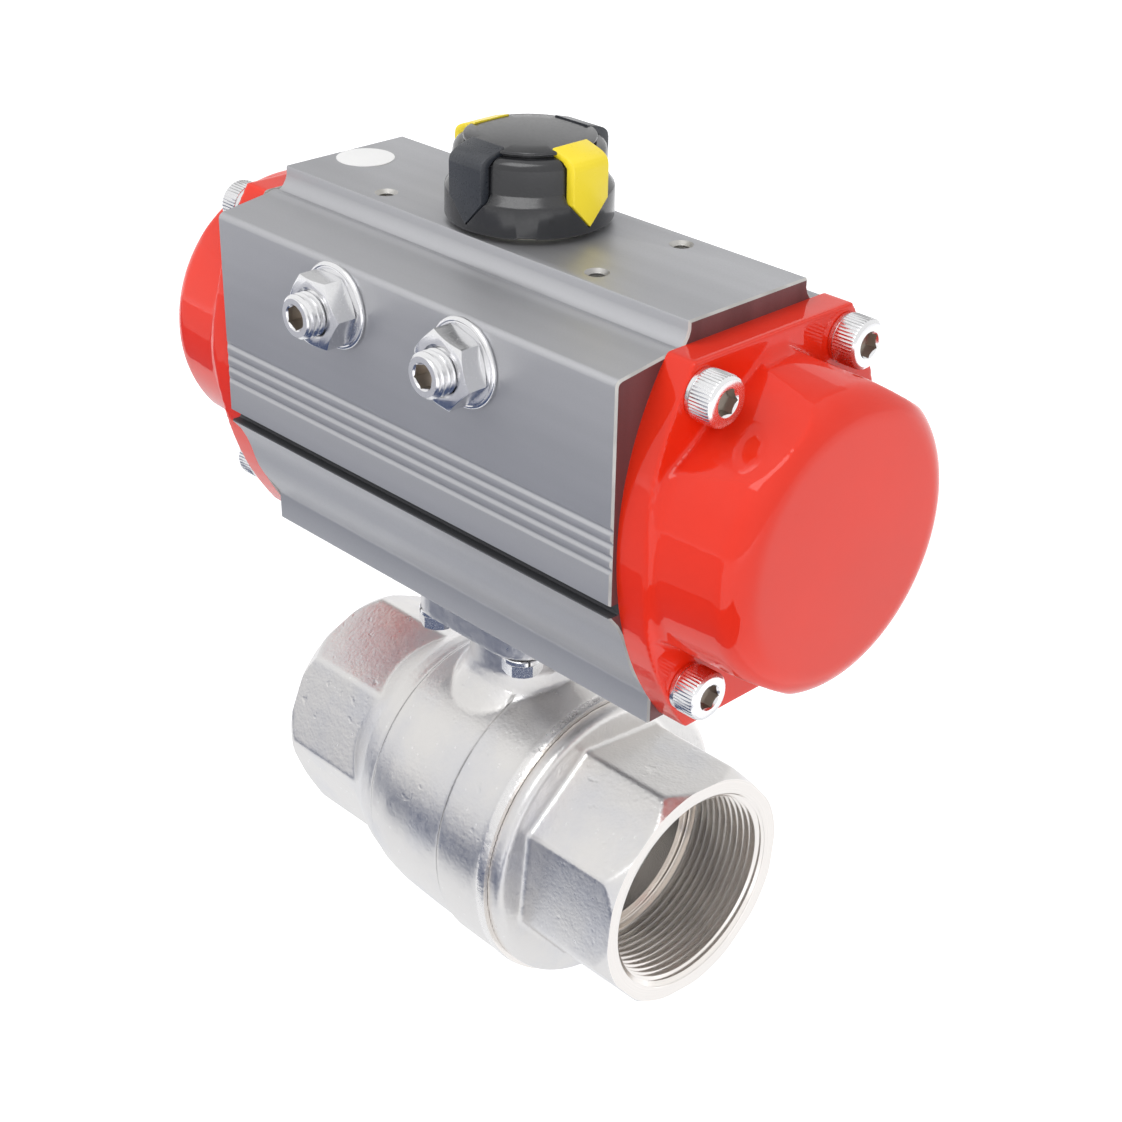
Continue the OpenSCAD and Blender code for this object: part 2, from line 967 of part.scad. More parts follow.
module guide_band(side) {
    inner_r = bore_r - part_gap - 1.5 + seal_gap;
    color([0.9, 0.88, 0.8])
        half_turn(side)
            translate([piston_x + 8 + seal_gap, 0, bore_z])
                rotate([0, 90, 0])
                    difference() {
                        ring(bore_r - 0.08, inner_r, 4 - 2 * seal_gap);
                        rotate([0, 0, 180])
                            translate([inner_r - 1, -0.8, -1])
                                cube([4, 1.6, 6]);
                    }
}

module guide_band_left() {
    guide_band(-1);
}

module guide_band_right() {
    guide_band(1);
}

module rack_pad(side) {
    color([0.9, 0.88, 0.8])
        half_turn(side)
            translate([0, 0, bore_z])
                rack_pad_space(0);
}

module rack_pad_left() {
    rack_pad(-1);
}

module rack_pad_right() {
    rack_pad(1);
}

// Return springs: a swept wire with one closed turn at each end

spring_low = piston_x + piston_t - 2;
spring_len = chamber_end - spring_low - 2 * seal_gap;
wire_sides = 5;
turn_steps = 10;

function spring_rise(t) =
    let (active = spring_turns - 2, pitch = (spring_len - 3 * wire_d) / active)
    t < 1 ? wire_d * t
    : t > spring_turns - 1 ? wire_d + pitch * active + wire_d * (t - spring_turns + 1)
    : wire_d + pitch * (t - 1);

function wire_point(i, j) =
    let (
        a = 360 * i / turn_steps,
        b = 360 * j / wire_sides,
        r = spring_d / 2 - wire_d / 2 + wire_d / 2 * cos(b)
    )
    [spring_rise(i / turn_steps) + wire_d / 2 + wire_d / 2 * sin(b), r * cos(a), r * sin(a)];

module spring_wire() {
    rings = spring_turns * turn_steps;
    last = rings * wire_sides;
    polyhedron(
        points = [for (i = [0:rings], j = [0:wire_sides - 1]) wire_point(i, j)],
        faces = concat(
            [[for (j = [0:wire_sides - 1]) j]],
            [for (i = [0:rings - 1], j = [0:wire_sides - 1])
                let (k = (j + 1) % wire_sides, a = i * wire_sides, b = a + wire_sides)
                [a + j, b + j, b + k]],
            [for (i = [0:rings - 1], j = [0:wire_sides - 1])
                let (k = (j + 1) % wire_sides, a = i * wire_sides, b = a + wire_sides)
                [a + j, b + k, a + k]],
            [[for (j = [wire_sides - 1:-1:0]) last + j]]
        )
    );
}

module springs(side) {
    color([0.55, 0.57, 0.6])
        half_turn(side)
            spring_places()
                translate([spring_low + seal_gap, 0, 0])
                    spring_wire();
}

module springs_left() {
    springs(-1);
}

module springs_right() {
    springs(1);
}

// Position indicator

module indicator_shell() {
    base_r = ind_base_d / 2;
    drum_r = ind_drum_d / 2;
    drum_top = ind_h - 2.2;
    seat_z = shaft_end_h;
    rotate_extrude()
        polygon([
            [3.2, seat_z],
            [drum_r - 3.5, seat_z],
            [drum_r - 3.5, ind_low],
            [base_r - 0.5, ind_low],
            [base_r, ind_low + 0.5],
            [base_r, 9.6],
            [base_r - 0.5, 10.3],
            [drum_r + 0.2, 12],
            [drum_r, 12.5],
            [drum_r, drum_top - 1.5],
            [drum_r - 0.5, drum_top - 0.4],
            [drum_r - 1.6, drum_top],
            [15.7, drum_top],
            [15.7, seat_z + 2.5],
            [3.2, seat_z + 2.5]
        ]);
}

module indicator_housing() {
    color([0.11, 0.11, 0.12])
        translate([0, 0, top_z])
            difference() {
                indicator_shell();
                for (a = [0:90:270])
                    rotate([0, 0, a])
                        pointer_shape(pocket_gap);
                for (a = [45:90:315])
                    rotate([0, 0, a])
                        translate([ind_base_d / 2 - 1.4, -2.5, 0])
                            cube([3, 5, ind_low + 1]);
            }
}

module indicator_cap() {
    plate_r = 17.2;
    neck_r = 16.2;
    plate_low = ind_h - 1.5;
    color([0.13, 0.13, 0.14])
        translate([0, 0, top_z])
            difference() {
                rotate_extrude()
                    polygon([
                        [0, plate_low - 0.6],
                        [13.6, plate_low - 0.6],
                        [13.6, shaft_end_h + 2.6],
                        [15.6, shaft_end_h + 2.6],
                        [15.6, ind_h - 2.1],
                        [neck_r, ind_h - 2.1],
                        [neck_r, plate_low],
                        [plate_r, plate_low],
                        [plate_r, ind_h - 0.8],
                        [plate_r - 0.5, ind_h - 0.5],
                        [0, ind_h]
                    ]);
                for (a = [0:90:270])
                    rotate([0, 0, a])
                        pointer_shape(pocket_gap);
                for (a = [45:90:315])
                    rotate([0, 0, a])
                        translate([plate_r - 0.8, -1.3, plate_low - 1])
                            cube([3, 2.6, 1.6]);
            }
}

// An arrow bent over the drum's edge, its middle on the +X side
module pointer_shape(gap) {
    half = pointer_w / 2 + gap;
    top = ind_h + 0.2;
    intersection() {
        translate([0, half, 0])
            rotate([90, 0, 0])
                linear_extrude(2 * half)
                    polygon([
                        [pointer_top_in - gap, ind_h - 2.15 - gap],
                        [pointer_in - gap, ind_h - 2.15 - gap],
                        [pointer_in - gap, 2],
                        [pointer_x + gap, 2],
                        [pointer_x + gap, top - 2],
                        [pointer_x - 1.6 + gap, top + gap],
                        [pointer_top_in - gap, top + gap]
                    ]);
        rotate([90, 0, 90])
            linear_extrude(pointer_x + 5)
                polygon([
                    [-half, top + 1],
                    [-half, 9.9],
                    [0, 3.4 - 1.5 * gap],
                    [half, 9.9],
                    [half, top + 1]
                ]);
    }
}

module yellow_pointers() {
    color([0.98, 0.85, 0.12])
        translate([0, 0, top_z])
            for (a = [0, 180])
                rotate([0, 0, a])
                    pointer_shape(0);
}

module black_pointers() {
    color([0.14, 0.15, 0.17])
        translate([0, 0, top_z])
            for (a = [90, 270])
                rotate([0, 0, a])
                    pointer_shape(0);
}

module indicator_screw() {
    color([0.8, 0.8, 0.81])
        translate([0, 0, top_z + shaft_end_h + 2.5])
            socket_screw(6, 10, 2.8, 4, 14);
}

// Valve

module octagon_end(x0, turn_angle) {
    corner_r = octagon_d / 2;
    end_x = valve_l / 2;
    flat = corner_r * cos(22.5);
    intersection() {
        bar_x(x0, end_x)
            rotate(turn_angle)
                circle(r = corner_r, $fn = 8);
        turned_x()
            polygon([
                [0, x0],
                [corner_r + 0.1, x0],
                [corner_r + 0.1, end_x - octagon_chamfer],
                [flat + 0.4, end_x],
                [0, end_x]
            ]);
    }
}

module socket_space() {
    turned_x()
        polygon([
            [0, seat_x],
            [flow_d / 2, seat_x],
            [flow_d / 2, socket_x],
            [thread_d / 2, socket_x],
            [thread_d / 2, valve_l / 2 - 1.2],
            [thread_d / 2 + 1.7, valve_l / 2 + 0.5],
            [0, valve_l / 2 + 0.5]
        ]);
}

module seat_space() {
    rod_x(seat_r + seal_gap, 15, seat_x + eps);
}

// The cast barrel, with its two small steps and the rim at the joint
module barrel() {
    barrel_r = barrel_d / 2;
    end_r = octagon_d / 2;
    turned_x()
        polygon([
            [0, -oct_x - 1],
            [end_r - 1.2, -oct_x - 1],
            [end_r - 0.2, -oct_x + 1],
            [end_r + 0.3, -oct_x + 2.6],
            [barrel_r - 4.5, -30],
            [barrel_r - 3, -24.5],
            [barrel_r - 2.7, -22.2],
            [barrel_r - 2.1, -21.8],
            [barrel_r - 0.9, -14],
            [barrel_r, 0],
            [barrel_r + 0.4, 10.8],
            [barrel_r + 0.8, 11.2],
            [barrel_r + 1.1, 19],
            [barrel_r + 1.1, joint_x - 3.4],
            [barrel_r + 1.5, joint_x - 2.6],
            [barrel_r + 1.5, joint_x - 1],
            [barrel_r + 0.9, joint_x - 0.1],
            [0, joint_x - 0.1]
        ]);
}

module pad_outline() {
    inner = pad_w - 2 * pad_corner;
    square([pad_w, inner], center = true);
    square([inner, pad_w], center = true);
    at_four(inner, inner)
        circle(r = pad_corner);
}

module valve_body() {
    gasket_x = joint_x - 1;
    color([0.8, 0.79, 0.77])
        difference() {
            union() {
                barrel();
                mirror([1, 0, 0])
                    octagon_end(oct_x - 1, 0);
                rod_z(neck_d / 2, 20, pad_z - pad_t + 1);
                translate([0, 0, barrel_d / 2 + 4.8 - flare_h])
                    cylinder(r1 = neck_d / 2 + flare, r2 = neck_d / 2, h = flare_h);
                translate([0, 0, pad_z - pad_t])
                    linear_extrude(pad_t)
                        pad_outline();
            }
            mirror([1, 0, 0]) {
                socket_space();
                seat_space();
            }
            sphere(r = ball_r + ball_room, $fn = 96);
            rod_x(ball_r + ball_room - 0.2, 0, joint_x);
            rod_x(ball_r + 3.5, gasket_x, joint_x);
            rod_z(collar_r + 0.6, flow_d / 2, collar_top + thrust_t);
            rod_z(stem_d / 2 + 0.1, flow_d / 2, pad_z + 1);
            rod_z(packing_r, packing_low, pad_z + 1);
            rod_z(nut_recess_r, packing_low + packing_n * packing_ring_t + gland_t, pad_z + 1);
            rod_z(spigot_r, pad_z - spigot_t, pad_z + 1);
            flange_bolt_places()
                translate([0, 0, -pad_t - 1])
                    cylinder(d = bolt_d + 0.6, h = pad_t + 2);
        }
}

module flange_bolt_places() {
    for (a = [45:90:315])
        rotate([0, 0, a])
            translate([flange_pcd / 2, 0, pad_z])
                rotate([0, 0, -a])
                    children();
}

module end_connector() {
    disc_r = disc_d / 2;
    disc_end = joint_x + disc_t;
    color([0.8, 0.79, 0.77])
        difference() {
            union() {
                turned_x()
                    polygon([
                        [0, 19],
                        [ball_r + ball_room - 0.25, 19],
                        [ball_r + ball_room - 0.25, joint_x],
                        [disc_r, joint_x],
                        [disc_r, disc_end - 1.6],
                        [disc_r - 0.5, disc_end - 0.5],
                        [disc_r - 1.6, disc_end],
                        [0, disc_end]
                    ]);
                octagon_end(disc_end - 1, octagon_turn);
            }
            socket_space();
            seat_space();
            sphere(r = ball_r + ball_room, $fn = 96);
        }
}

module body_gasket() {
    color([0.93, 0.93, 0.9])
        translate([joint_x - 1, 0, 0])
            rotate([0, 90, 0])
                ring(ball_r + 3.4, ball_r + ball_room - 0.1, 1);
}

module seat() {
    color([0.94, 0.94, 0.92])
        difference() {
            rod_x(seat_r, seat_x - seat_w, seat_x);
            rod_x(flow_d / 2 + 0.3, 0, seat_x + 1);
            sphere(r = ball_r + seal_gap, $fn = 96);
        }
}

module seat_left() {
    mirror([1, 0, 0])
        seat();
}

module seat_right() {
    seat();
}

module ball() {
    slot_w_half = blade_t / 2 + 0.15;
    color([0.86, 0.86, 0.85])
        difference() {
            sphere(r = ball_r, $fn = 96);
            rod_x(flow_d / 2, -ball_r - 1, ball_r + 1);
            translate([-slot_w_half, -collar_r - 0.6, blade_low - 0.4])
                cube([2 * slot_w_half, 2 * collar_r + 1.2, ball_r]);
            rod_z(1.5, 0, ball_r);
        }
}

module stem() {
    stem_r = stem_d / 2;
    color([0.75, 0.75, 0.74]) {
        difference() {
            union() {
                intersection() {
                    rod_z(collar_r, blade_low, collar_low + 1);
                    translate([-blade_t / 2, -collar_r, blade_low])
                        cube([blade_t, 2 * collar_r, collar_top - blade_low]);
                }
                rod_z(collar_r, collar_low, collar_top - seal_gap);
                rod_z(stem_r, collar_low + 1, pad_z + drive_l);
            }
            for (a = [0:90:270])
                rotate([0, 0, a])
                    translate([square_w / 2, -stem_r, pad_z - 1])
                        cube([stem_r, stem_d, drive_l + 2]);
        }
    }
}

module stem_thrust_washer() {
    color([0.94, 0.94, 0.92])
        translate([0, 0, collar_top])
            ring(collar_r + 0.5, stem_d / 2 + seal_gap, thrust_t);
}

module stem_packing() {
    inner_r = stem_d / 2 + seal_gap;
    outer_r = packing_r - seal_gap;
    mid_r = (inner_r + outer_r) / 2;
    color([0.94, 0.94, 0.92])
        for (i = [0:packing_n - 1])
            translate([0, 0, packing_low + i * packing_ring_t])
                rotate_extrude()
                    polygon([
                        [inner_r, 0],
                        [mid_r, i == 0 ? 0 : 0.8],
                        [outer_r, 0],
                        [outer_r, packing_ring_t - 0.1],
                        [mid_r, packing_ring_t + 0.6],
                        [inner_r, packing_ring_t - 0.1]
                    ]);
}

module gland_ring() {
    inner_r = stem_d / 2 + seal_gap;
    outer_r = packing_r - seal_gap;
    mid_r = (inner_r + outer_r) / 2;
    color([0.75, 0.75, 0.74])
        translate([0, 0, packing_low + packing_n * packing_ring_t])
            rotate_extrude()
                polygon([
                    [inner_r, 0],
                    [mid_r, 0.8],
                    [outer_r, 0],
                    [outer_r, gland_t - 0.1],
                    [inner_r, gland_t - 0.1]
                ]);
}

disc_low = packing_low + packing_n * packing_ring_t + gland_t;

module disc_springs() {
    inner_r = stem_d / 2 + 0.1;
    color([0.62, 0.62, 0.62])
        for (i = [0, 1])
            translate([0, 0, disc_low + (i == 0 ? 0 : 2 * disc_spring_t)])
                mirror([0, 0, i])
                    rotate_extrude()
                        polygon([
                            [inner_r, 0.05],
                            [packing_r + 0.8, 0.4],
                            [packing_r + 0.8, 1.15],
                            [inner_r, 0.8]
                        ]);
}

module stem_nut() {
    color([0.78, 0.78, 0.77])
        translate([0, 0, disc_low + 2 * disc_spring_t])
            difference() {
                linear_extrude(4.4)
                    hexagon(nut_w);
                translate([0, 0, -1])
                    cylinder(r = stem_d / 2 + seal_gap, h = 7);
            }
}

module centring_ring() {
    color([0.72, 0.72, 0.72])
        translate([0, 0, pad_z - spigot_t])
            ring(spigot_r - seal_gap, spigot_r - 1.5, 2 * spigot_t);
}

module mounting_washers() {
    color([0.8, 0.8, 0.8])
        flange_bolt_places()
            translate([0, 0, -pad_t - pad_washer_t])
                difference() {
                    ring(5.6, bolt_d / 2 + 0.1, pad_washer_t);
                    translate([2, -0.3, -1])
                        cube([5, 0.6, 4]);
                }
}

module mounting_bolts() {
    head_z = -pad_t - pad_washer_t;
    color([0.84, 0.84, 0.83])
        flange_bolt_places() {
            translate([0, 0, head_z - bolt_head_t])
                linear_extrude(bolt_head_t)
                    hexagon(10);
            translate([0, 0, head_z - eps])
                cylinder(d = bolt_d, h = 10 - head_z);
        }
}

actuator_body();
end_cap_left();
end_cap_right();
cap_screws_left();
cap_screws_right();
cap_gasket_left();
cap_gasket_right();
channel_plugs();
upper_bearing();
lower_bearing();
stop_nuts();
stop_washers();
stop_seals();
inspection_sticker();
centring_ring();
valve_body();
end_connector();
body_gasket();
seat_left();
seat_right();
stem_thrust_washer();
stem_packing();
gland_ring();
mounting_bolts();
mounting_washers();
pinion();
stop_cam();
cam_key();
shaft_seals();
thrust_washer();
shaft_circlip();
indicator_housing();
indicator_cap();
yellow_pointers();
black_pointers();
indicator_screw();
stem();
disc_springs();
stem_nut();
ball();
piston_left();
piston_right();
piston_seal_left();
piston_seal_right();
guide_band_left();
guide_band_right();
rack_pad_left();
rack_pad_right();
springs_left();
springs_right();
stop_screw_left();
stop_screw_right();
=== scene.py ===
"""The dressed model of the pneumatic ball valve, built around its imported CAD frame."""

import logging
import math
from collections.abc import Callable, Iterator, Sequence
from contextlib import contextmanager
from dataclasses import dataclass, field
from enum import Enum

import bmesh
import bpy
from mathutils import Matrix, Vector


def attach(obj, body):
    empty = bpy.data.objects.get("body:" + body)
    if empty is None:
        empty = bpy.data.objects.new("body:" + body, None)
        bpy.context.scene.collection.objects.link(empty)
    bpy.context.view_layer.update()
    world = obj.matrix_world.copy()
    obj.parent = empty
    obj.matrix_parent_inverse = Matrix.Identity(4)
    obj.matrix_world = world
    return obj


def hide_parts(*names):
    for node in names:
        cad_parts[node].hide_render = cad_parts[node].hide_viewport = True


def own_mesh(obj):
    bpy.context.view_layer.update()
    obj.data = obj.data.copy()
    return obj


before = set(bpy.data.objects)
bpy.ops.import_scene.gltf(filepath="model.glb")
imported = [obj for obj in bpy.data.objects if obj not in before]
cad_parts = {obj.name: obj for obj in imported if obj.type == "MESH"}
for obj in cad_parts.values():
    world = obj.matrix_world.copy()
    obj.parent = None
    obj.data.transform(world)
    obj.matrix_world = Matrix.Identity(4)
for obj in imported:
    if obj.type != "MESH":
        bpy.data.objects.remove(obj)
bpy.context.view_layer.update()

logging.basicConfig(level=logging.INFO, format="%(message)s")
log = logging.getLogger("valve")

MM = 0.001

Point = tuple[float, float, float]
Flat = tuple[float, float]
Colour = tuple[float, float, float]
Test = Callable[[Vector, Vector], bool]
Piece = bpy.types.Object
Finished = bpy.types.Material
Tree = bpy.types.NodeTree


class Way(Enum):
    """The direction that a turned piece's own Z axis gets."""

    RIGHT = (0.0, math.pi / 2, 0.0)
    LEFT = (0.0, -math.pi / 2, 0.0)
    UP = (0.0, 0.0, 0.0)
    FRONT = (math.pi / 2, 0.0, 0.0)
    BACK = (-math.pi / 2, 0.0, 0.0)
    DOWN = (math.pi, 0.0, 0.0)


class Cut(Enum):
    """How one solid works on another."""

    AWAY = "DIFFERENCE"
    SHARED = "INTERSECT"
    ADDED = "UNION"


@dataclass(frozen=True)
class Layout:
    """Places that more than one sub-assembly keeps to, in millimetres from the ball's centre."""

    bore_z: float = 125.8
    half_l: float = 76.5
    front_y: float = 44.6
    top_z: float = 179.0
    foot_z: float = 72.0
    stop_x: float = 25.0
    stop_z: float = 159.0
    cap_screw_y: float = 25.5
    cap_screw_z: float = 39.5
    bolt_place: float = 17.68
    spring_circle: float = 24.0


LAYOUT = Layout()
QUARTERS = (0.0, 90.0, 180.0, 270.0)
BOTH = (-1, 1)
SIDES = ((1, "right", Way.RIGHT), (-1, "left", Way.LEFT))

# Modelling by hand, in millimetres


def focus(*pieces: Piece) -> None:
    """Select these pieces alone and make the first one active.

    Args:
        pieces: the pieces to work on.
    """
    bpy.ops.object.select_all(action="DESELECT")
    for piece in pieces:
        piece.select_set(True)
    bpy.context.view_layer.objects.active = pieces[0]


@contextmanager
def editing(piece: Piece, kind: str = "VERT") -> Iterator[None]:
    """Open one piece in edit mode with nothing selected, and close it again.

    Args:
        piece: the piece to edit.
        kind: what is selected, VERT, EDGE or FACE.

    Returns:
        An iterator for the with statement.
    """
    focus(piece)
    bpy.ops.object.mode_set(mode="EDIT")
    bpy.ops.mesh.select_mode(type=kind)
    bpy.ops.mesh.select_all(action="DESELECT")
    yield
    bpy.ops.object.mode_set(mode="OBJECT")


def pick_faces(piece: Piece, test: Test) -> int:
    """Select the faces of the open piece whose middle and normal pass a test.

    Args:
        piece: the piece in edit mode.
        test: takes a face's middle and normal.

    Returns:
        How many faces were selected.
    """
    mesh = bmesh.from_edit_mesh(piece.data)
    chosen = [f for f in mesh.faces if test(f.calc_center_median(), f.normal)]
    for face in chosen:
        face.select_set(True)
    bmesh.update_edit_mesh(piece.data)
    return len(chosen)


def pick_edges(piece: Piece, test: Test) -> int:
    """Select the edges of the open piece whose middle and direction pass a test.

    Args:
        piece: the piece in edit mode.
        test: takes an edge's middle and its unit direction.

    Returns:
        How many edges were selected.
    """
    mesh = bmesh.from_edit_mesh(piece.data)
    chosen = []
    for edge in mesh.edges:
        ends = [v.co for v in edge.verts]
        if test((ends[0] + ends[1]) / 2, (ends[1] - ends[0]).normalized()):
            chosen.append(edge)
    for edge in chosen:
        edge.select_set(True)
    bmesh.update_edit_mesh(piece.data)
    return len(chosen)


def pick_points(piece: Piece, test: Callable[[Vector], bool]) -> int:
    """Select the vertices of the open piece that pass a test.

    Args:
        piece: the piece in edit mode.
        test: takes a vertex's place.

    Returns:
        How many vertices were selected.
    """
    mesh = bmesh.from_edit_mesh(piece.data)
    chosen = [v for v in mesh.verts if test(v.co)]
    for vertex in chosen:
        vertex.select_set(True)
    bmesh.update_edit_mesh(piece.data)
    return len(chosen)


def trace(name: str, points: Sequence[Point], closed: bool = True, filled: bool = True) -> Piece:
    """Draw a line of points from one vertex, as with the extrude key.

    Args:
        name: the new piece's name.
        points: the corners, in millimetres.
        closed: whether the line returns to its start.
        filled: whether a closed line gets a face.

    Returns:
        The new piece.
    """
    bpy.ops.object.select_all(action="DESELECT")
    bpy.ops.mesh.primitive_plane_add(size=1.0, location=(0.0, 0.0, 0.0))
    piece = bpy.context.object
    piece.name = name
    piece.data.name = name
    bpy.ops.object.mode_set(mode="EDIT")
    bpy.ops.mesh.select_mode(type="VERT")
    bpy.ops.mesh.select_all(action="SELECT")
    bpy.ops.mesh.merge(type="CENTER")
    bpy.ops.transform.translate(value=points[0])
    path = list(points) + ([points[0]] if closed else [])
    for before, after in zip(path, path[1:]):
        step = Vector(after) - Vector(before)
        bpy.ops.mesh.extrude_vertices_move(TRANSFORM_OT_translate={"value": step})
    bpy.ops.mesh.select_all(action="SELECT")
    bpy.ops.mesh.remove_doubles(threshold=0.0002)
    if closed and filled:
        bpy.ops.mesh.edge_face_add()
    bpy.ops.object.mode_set(mode="OBJECT")
    return piece


def face_out(piece: Piece) -> None:
    """Merge doubles and turn all faces outwards.

    Args:
        piece: the piece to clean.
    """
    with editing(piece):
        bpy.ops.mesh.select_all(action="SELECT")
        bpy.ops.mesh.remove_doubles(threshold=0.0005)
        bpy.ops.mesh.normals_make_consistent(inside=False)


def place(piece: Piece, at: Point = (0.0, 0.0, 0.0), way: Way = Way.UP, turn: float = 0.0) -> Piece:
    """Turn a piece about its own axis, point that axis along a way and move it.

    Args:
        piece: the piece, modelled round the Z axis at the origin.
        at: where its origin goes, in millimetres.
        way: where its Z axis points.
        turn: its turn about its own axis first, in degrees.

    Returns:
        The same piece.
    """
    spun = Matrix.Rotation(math.radians(turn), 4, "Z")
    aimed = Matrix.Rotation(way.value[1], 4, "Y") @ Matrix.Rotation(way.value[0], 4, "X")
    piece.matrix_world = Matrix.Translation(at) @ aimed @ spun
    focus(piece)
    bpy.ops.object.transform_apply(location=True, rotation=True, scale=True)
    return piece


def prism(name: str, outline: Sequence[Flat], low: float, high: float) -> Piece:
    """Draw an outline and pull it up along Z.

    Args:
        name: the new piece's name.
        outline: corners as (x, y).
        low: height of the lower face.
        high: height of the upper face.

    Returns:
        The new solid.
    """
    piece = trace(name, [(x, y, low) for x, y in outline])
    with editing(piece, "FACE"):
        bpy.ops.mesh.select_all(action="SELECT")
        bpy.ops.mesh.extrude_region_move(TRANSFORM_OT_translate={"value": (0, 0, high - low)})
    face_out(piece)
    return piece


def bar_x(name: str, outline: Sequence[Flat], start: float, end: float) -> Piece:
    """Draw an outline in the YZ plane and pull it along X.

    Args:
        name: the new piece's name.
        outline: corners as (y, z).
        start: the X of the first face.
        end: the X of the last face.

    Returns:
        The new solid.
    """
    piece = trace(name, [(start, y, z) for y, z in outline])
    with editing(piece, "FACE"):
        bpy.ops.mesh.select_all(action="SELECT")
        bpy.ops.mesh.extrude_region_move(TRANSFORM_OT_translate={"value": (end - start, 0, 0)})
    face_out(piece)
    return piece


def turned(name: str, profile: Sequence[Flat], steps: int = 64, closed: bool = False) -> Piece:
    """Spin a profile round the Z axis.

    Args:
        name: the new piece's name.
        profile: points as (radius, height).
        steps: faces round the turn.
        closed: whether the profile is a ring that doesn't reach the axis.

    Returns:
        The new solid.
    """
    piece = trace(name, [(r, 0.0, h) for r, h in profile], closed=closed, filled=False)
    with editing(piece):
        bpy.ops.mesh.select_all(action="SELECT")
        bpy.ops.mesh.spin(steps=steps, angle=2 * math.pi, center=(0, 0, 0), axis=(0, 0, 1))
    face_out(piece)
    return piece


def rod(radius: float, low: float, high: float, rim: float = 0.0, steps: int = 48) -> Piece:
    """A round cutter or bar along Z whose upper end may widen.

    Args:
        radius: its radius.
        low: its lower end.
        high: its upper end.
        rim: how far its upper end widens, for a countersink.
        steps: faces round the turn.

    Returns:
        The new solid.
    """
    profile = [(0.0, low), (radius, low), (radius, high - rim - 0.01), (radius + rim, high), (0.0, high)]
    return turned("rod", profile, steps)


def arc(centre: Flat, radius: float, start: float, end: float, steps: int) -> list[Flat]:
    """Points along an arc, its two ends among them.

    Args:
        centre: its centre.
        radius: its radius.
        start: the angle of its first point, in degrees.
        end: the angle of its last point.
        steps: how many parts it has.

    Returns:
        The points in order.
    """
    points = []
    for i in range(steps + 1):
        a = math.radians(start + (end - start) * i / steps)
        points.append((centre[0] + radius * math.cos(a), centre[1] + radius * math.sin(a)))
    return points


def polygon(corners: int, radius: float, turn: float = 0.0) -> list[Flat]:
    """Corners of a regular polygon about the origin, the first at its turn in degrees."""
    return arc((0.0, 0.0), radius, turn, turn + 360.0 * (corners - 1) / corners, corners - 1)


def hexagon(across: float, turn: float = 0.0) -> list[Flat]:
    """Corners of a hexagon by its width across the flats."""
    return polygon(6, across / 2 / math.cos(math.radians(30)), turn)


def rectangle(left: float, right: float, low: float, high: float) -> list[Flat]:
    """Corners of an upright rectangle, from its lower left one."""
    return [(left, low), (right, low), (right, high), (left, high)]


def along_x(mid: Vector, way: Vector) -> bool:
    """Whether an edge runs along X."""
    return abs(way.x) > 0.99


def upright(mid: Vector, way: Vector) -> bool:
    """Whether an edge runs along Z."""
    return abs(way.z) > 0.99


def give(piece: Piece, *finishes: Finished) -> Piece:
    """Give a new piece its material slots.

    Args:
        piece: the piece.
        finishes: its materials in slot order.

    Returns:
        The same piece.
    """
    piece.data.materials.clear()
    for finish in finishes:
        piece.data.materials.append(finish)
    return piece


def join(pieces: Sequence[Piece], name: str) -> Piece:
    """Join pieces into the first one.

    Args:
        pieces: the pieces.
        name: the name of the result.

    Returns:
        The joined piece.
    """
    focus(*pieces)
    if len(pieces) > 1:
        bpy.ops.object.join()
    pieces[0].name = name
    pieces[0].data.name = name
    return pieces[0]


def copy_of(piece: Piece, name: str = "copy") -> Piece:
    """Copy a piece with a mesh of its own.

    Args:
        piece: the piece.
        name: the copy's name.

    Returns:
        The copy.
    """
    twin = piece.copy()
    twin.data = piece.data.copy()
    twin.name = name
    twin.data.name = name
    bpy.context.scene.collection.objects.link(twin)
    return twin


def apply(piece: Piece, kind: str, **settings: object) -> None:
    """Add a modifier to a piece and apply it.

    Args:
        piece: the piece.
        kind: the modifier's type.
        settings: its settings by name.
    """
    modifier = piece.modifiers.new(kind.lower(), kind)
    for key, value in settings.items():
        setattr(modifier, key, value)
    focus(piece)
    bpy.ops.object.modifier_apply(modifier=modifier.name)


def work(piece: Piece, tools: Sequence[Piece], finish: Finished | None = None, how: Cut = Cut.AWAY) -> Piece:
    """Cut a piece with tools, or join them, and throw the tools away.

    Args:
        piece: the piece that is worked on.
        tools: the other solids, used one after the other.
        finish: what the faces that they leave get.
        how: what is done.

    Returns:
        The worked piece.
    """
    for tool in tools:
        if finish:
            give(tool, finish)
        settings = {"operation": how.value, "solver": "MANIFOLD", "material_mode": "TRANSFER"}
        apply(piece, "BOOLEAN", object=tool, **settings)
        bpy.data.objects.remove(tool)
    return piece


def round_edges(piece: Piece, test: Test, width: float, segments: int = 2, finish: int = -1) -> None:
    """Bevel the edges that pass a test.

    Args:
        piece: the piece.
        test: takes an edge's middle and direction.
        width: the bevel's width.
        segments: its number of segments.
        finish: the material slot of the new faces, or -1 to keep the old one.
    """
    with editing(piece, "EDGE"):
        if pick_edges(piece, test):
            bpy.ops.mesh.bevel(offset=width, segments=segments, clamp_overlap=True, material=finish)


def wind(piece: Piece, pitch: float, turns: int, steps: int, **settings: object) -> None:
    """Wind a profile round the Z axis as a helix.

    Args:
        piece: the profile.
        pitch: the distance from turn to turn.
        turns: how many turns it makes.
        steps: faces round one turn.
        settings: other settings of the modifier.
    """
    fixed = {"axis": "Z", "angle": 2 * math.pi, "steps": steps, "render_steps": steps}
    apply(piece, "SCREW", screw_offset=pitch, iterations=turns, **fixed, **settings)


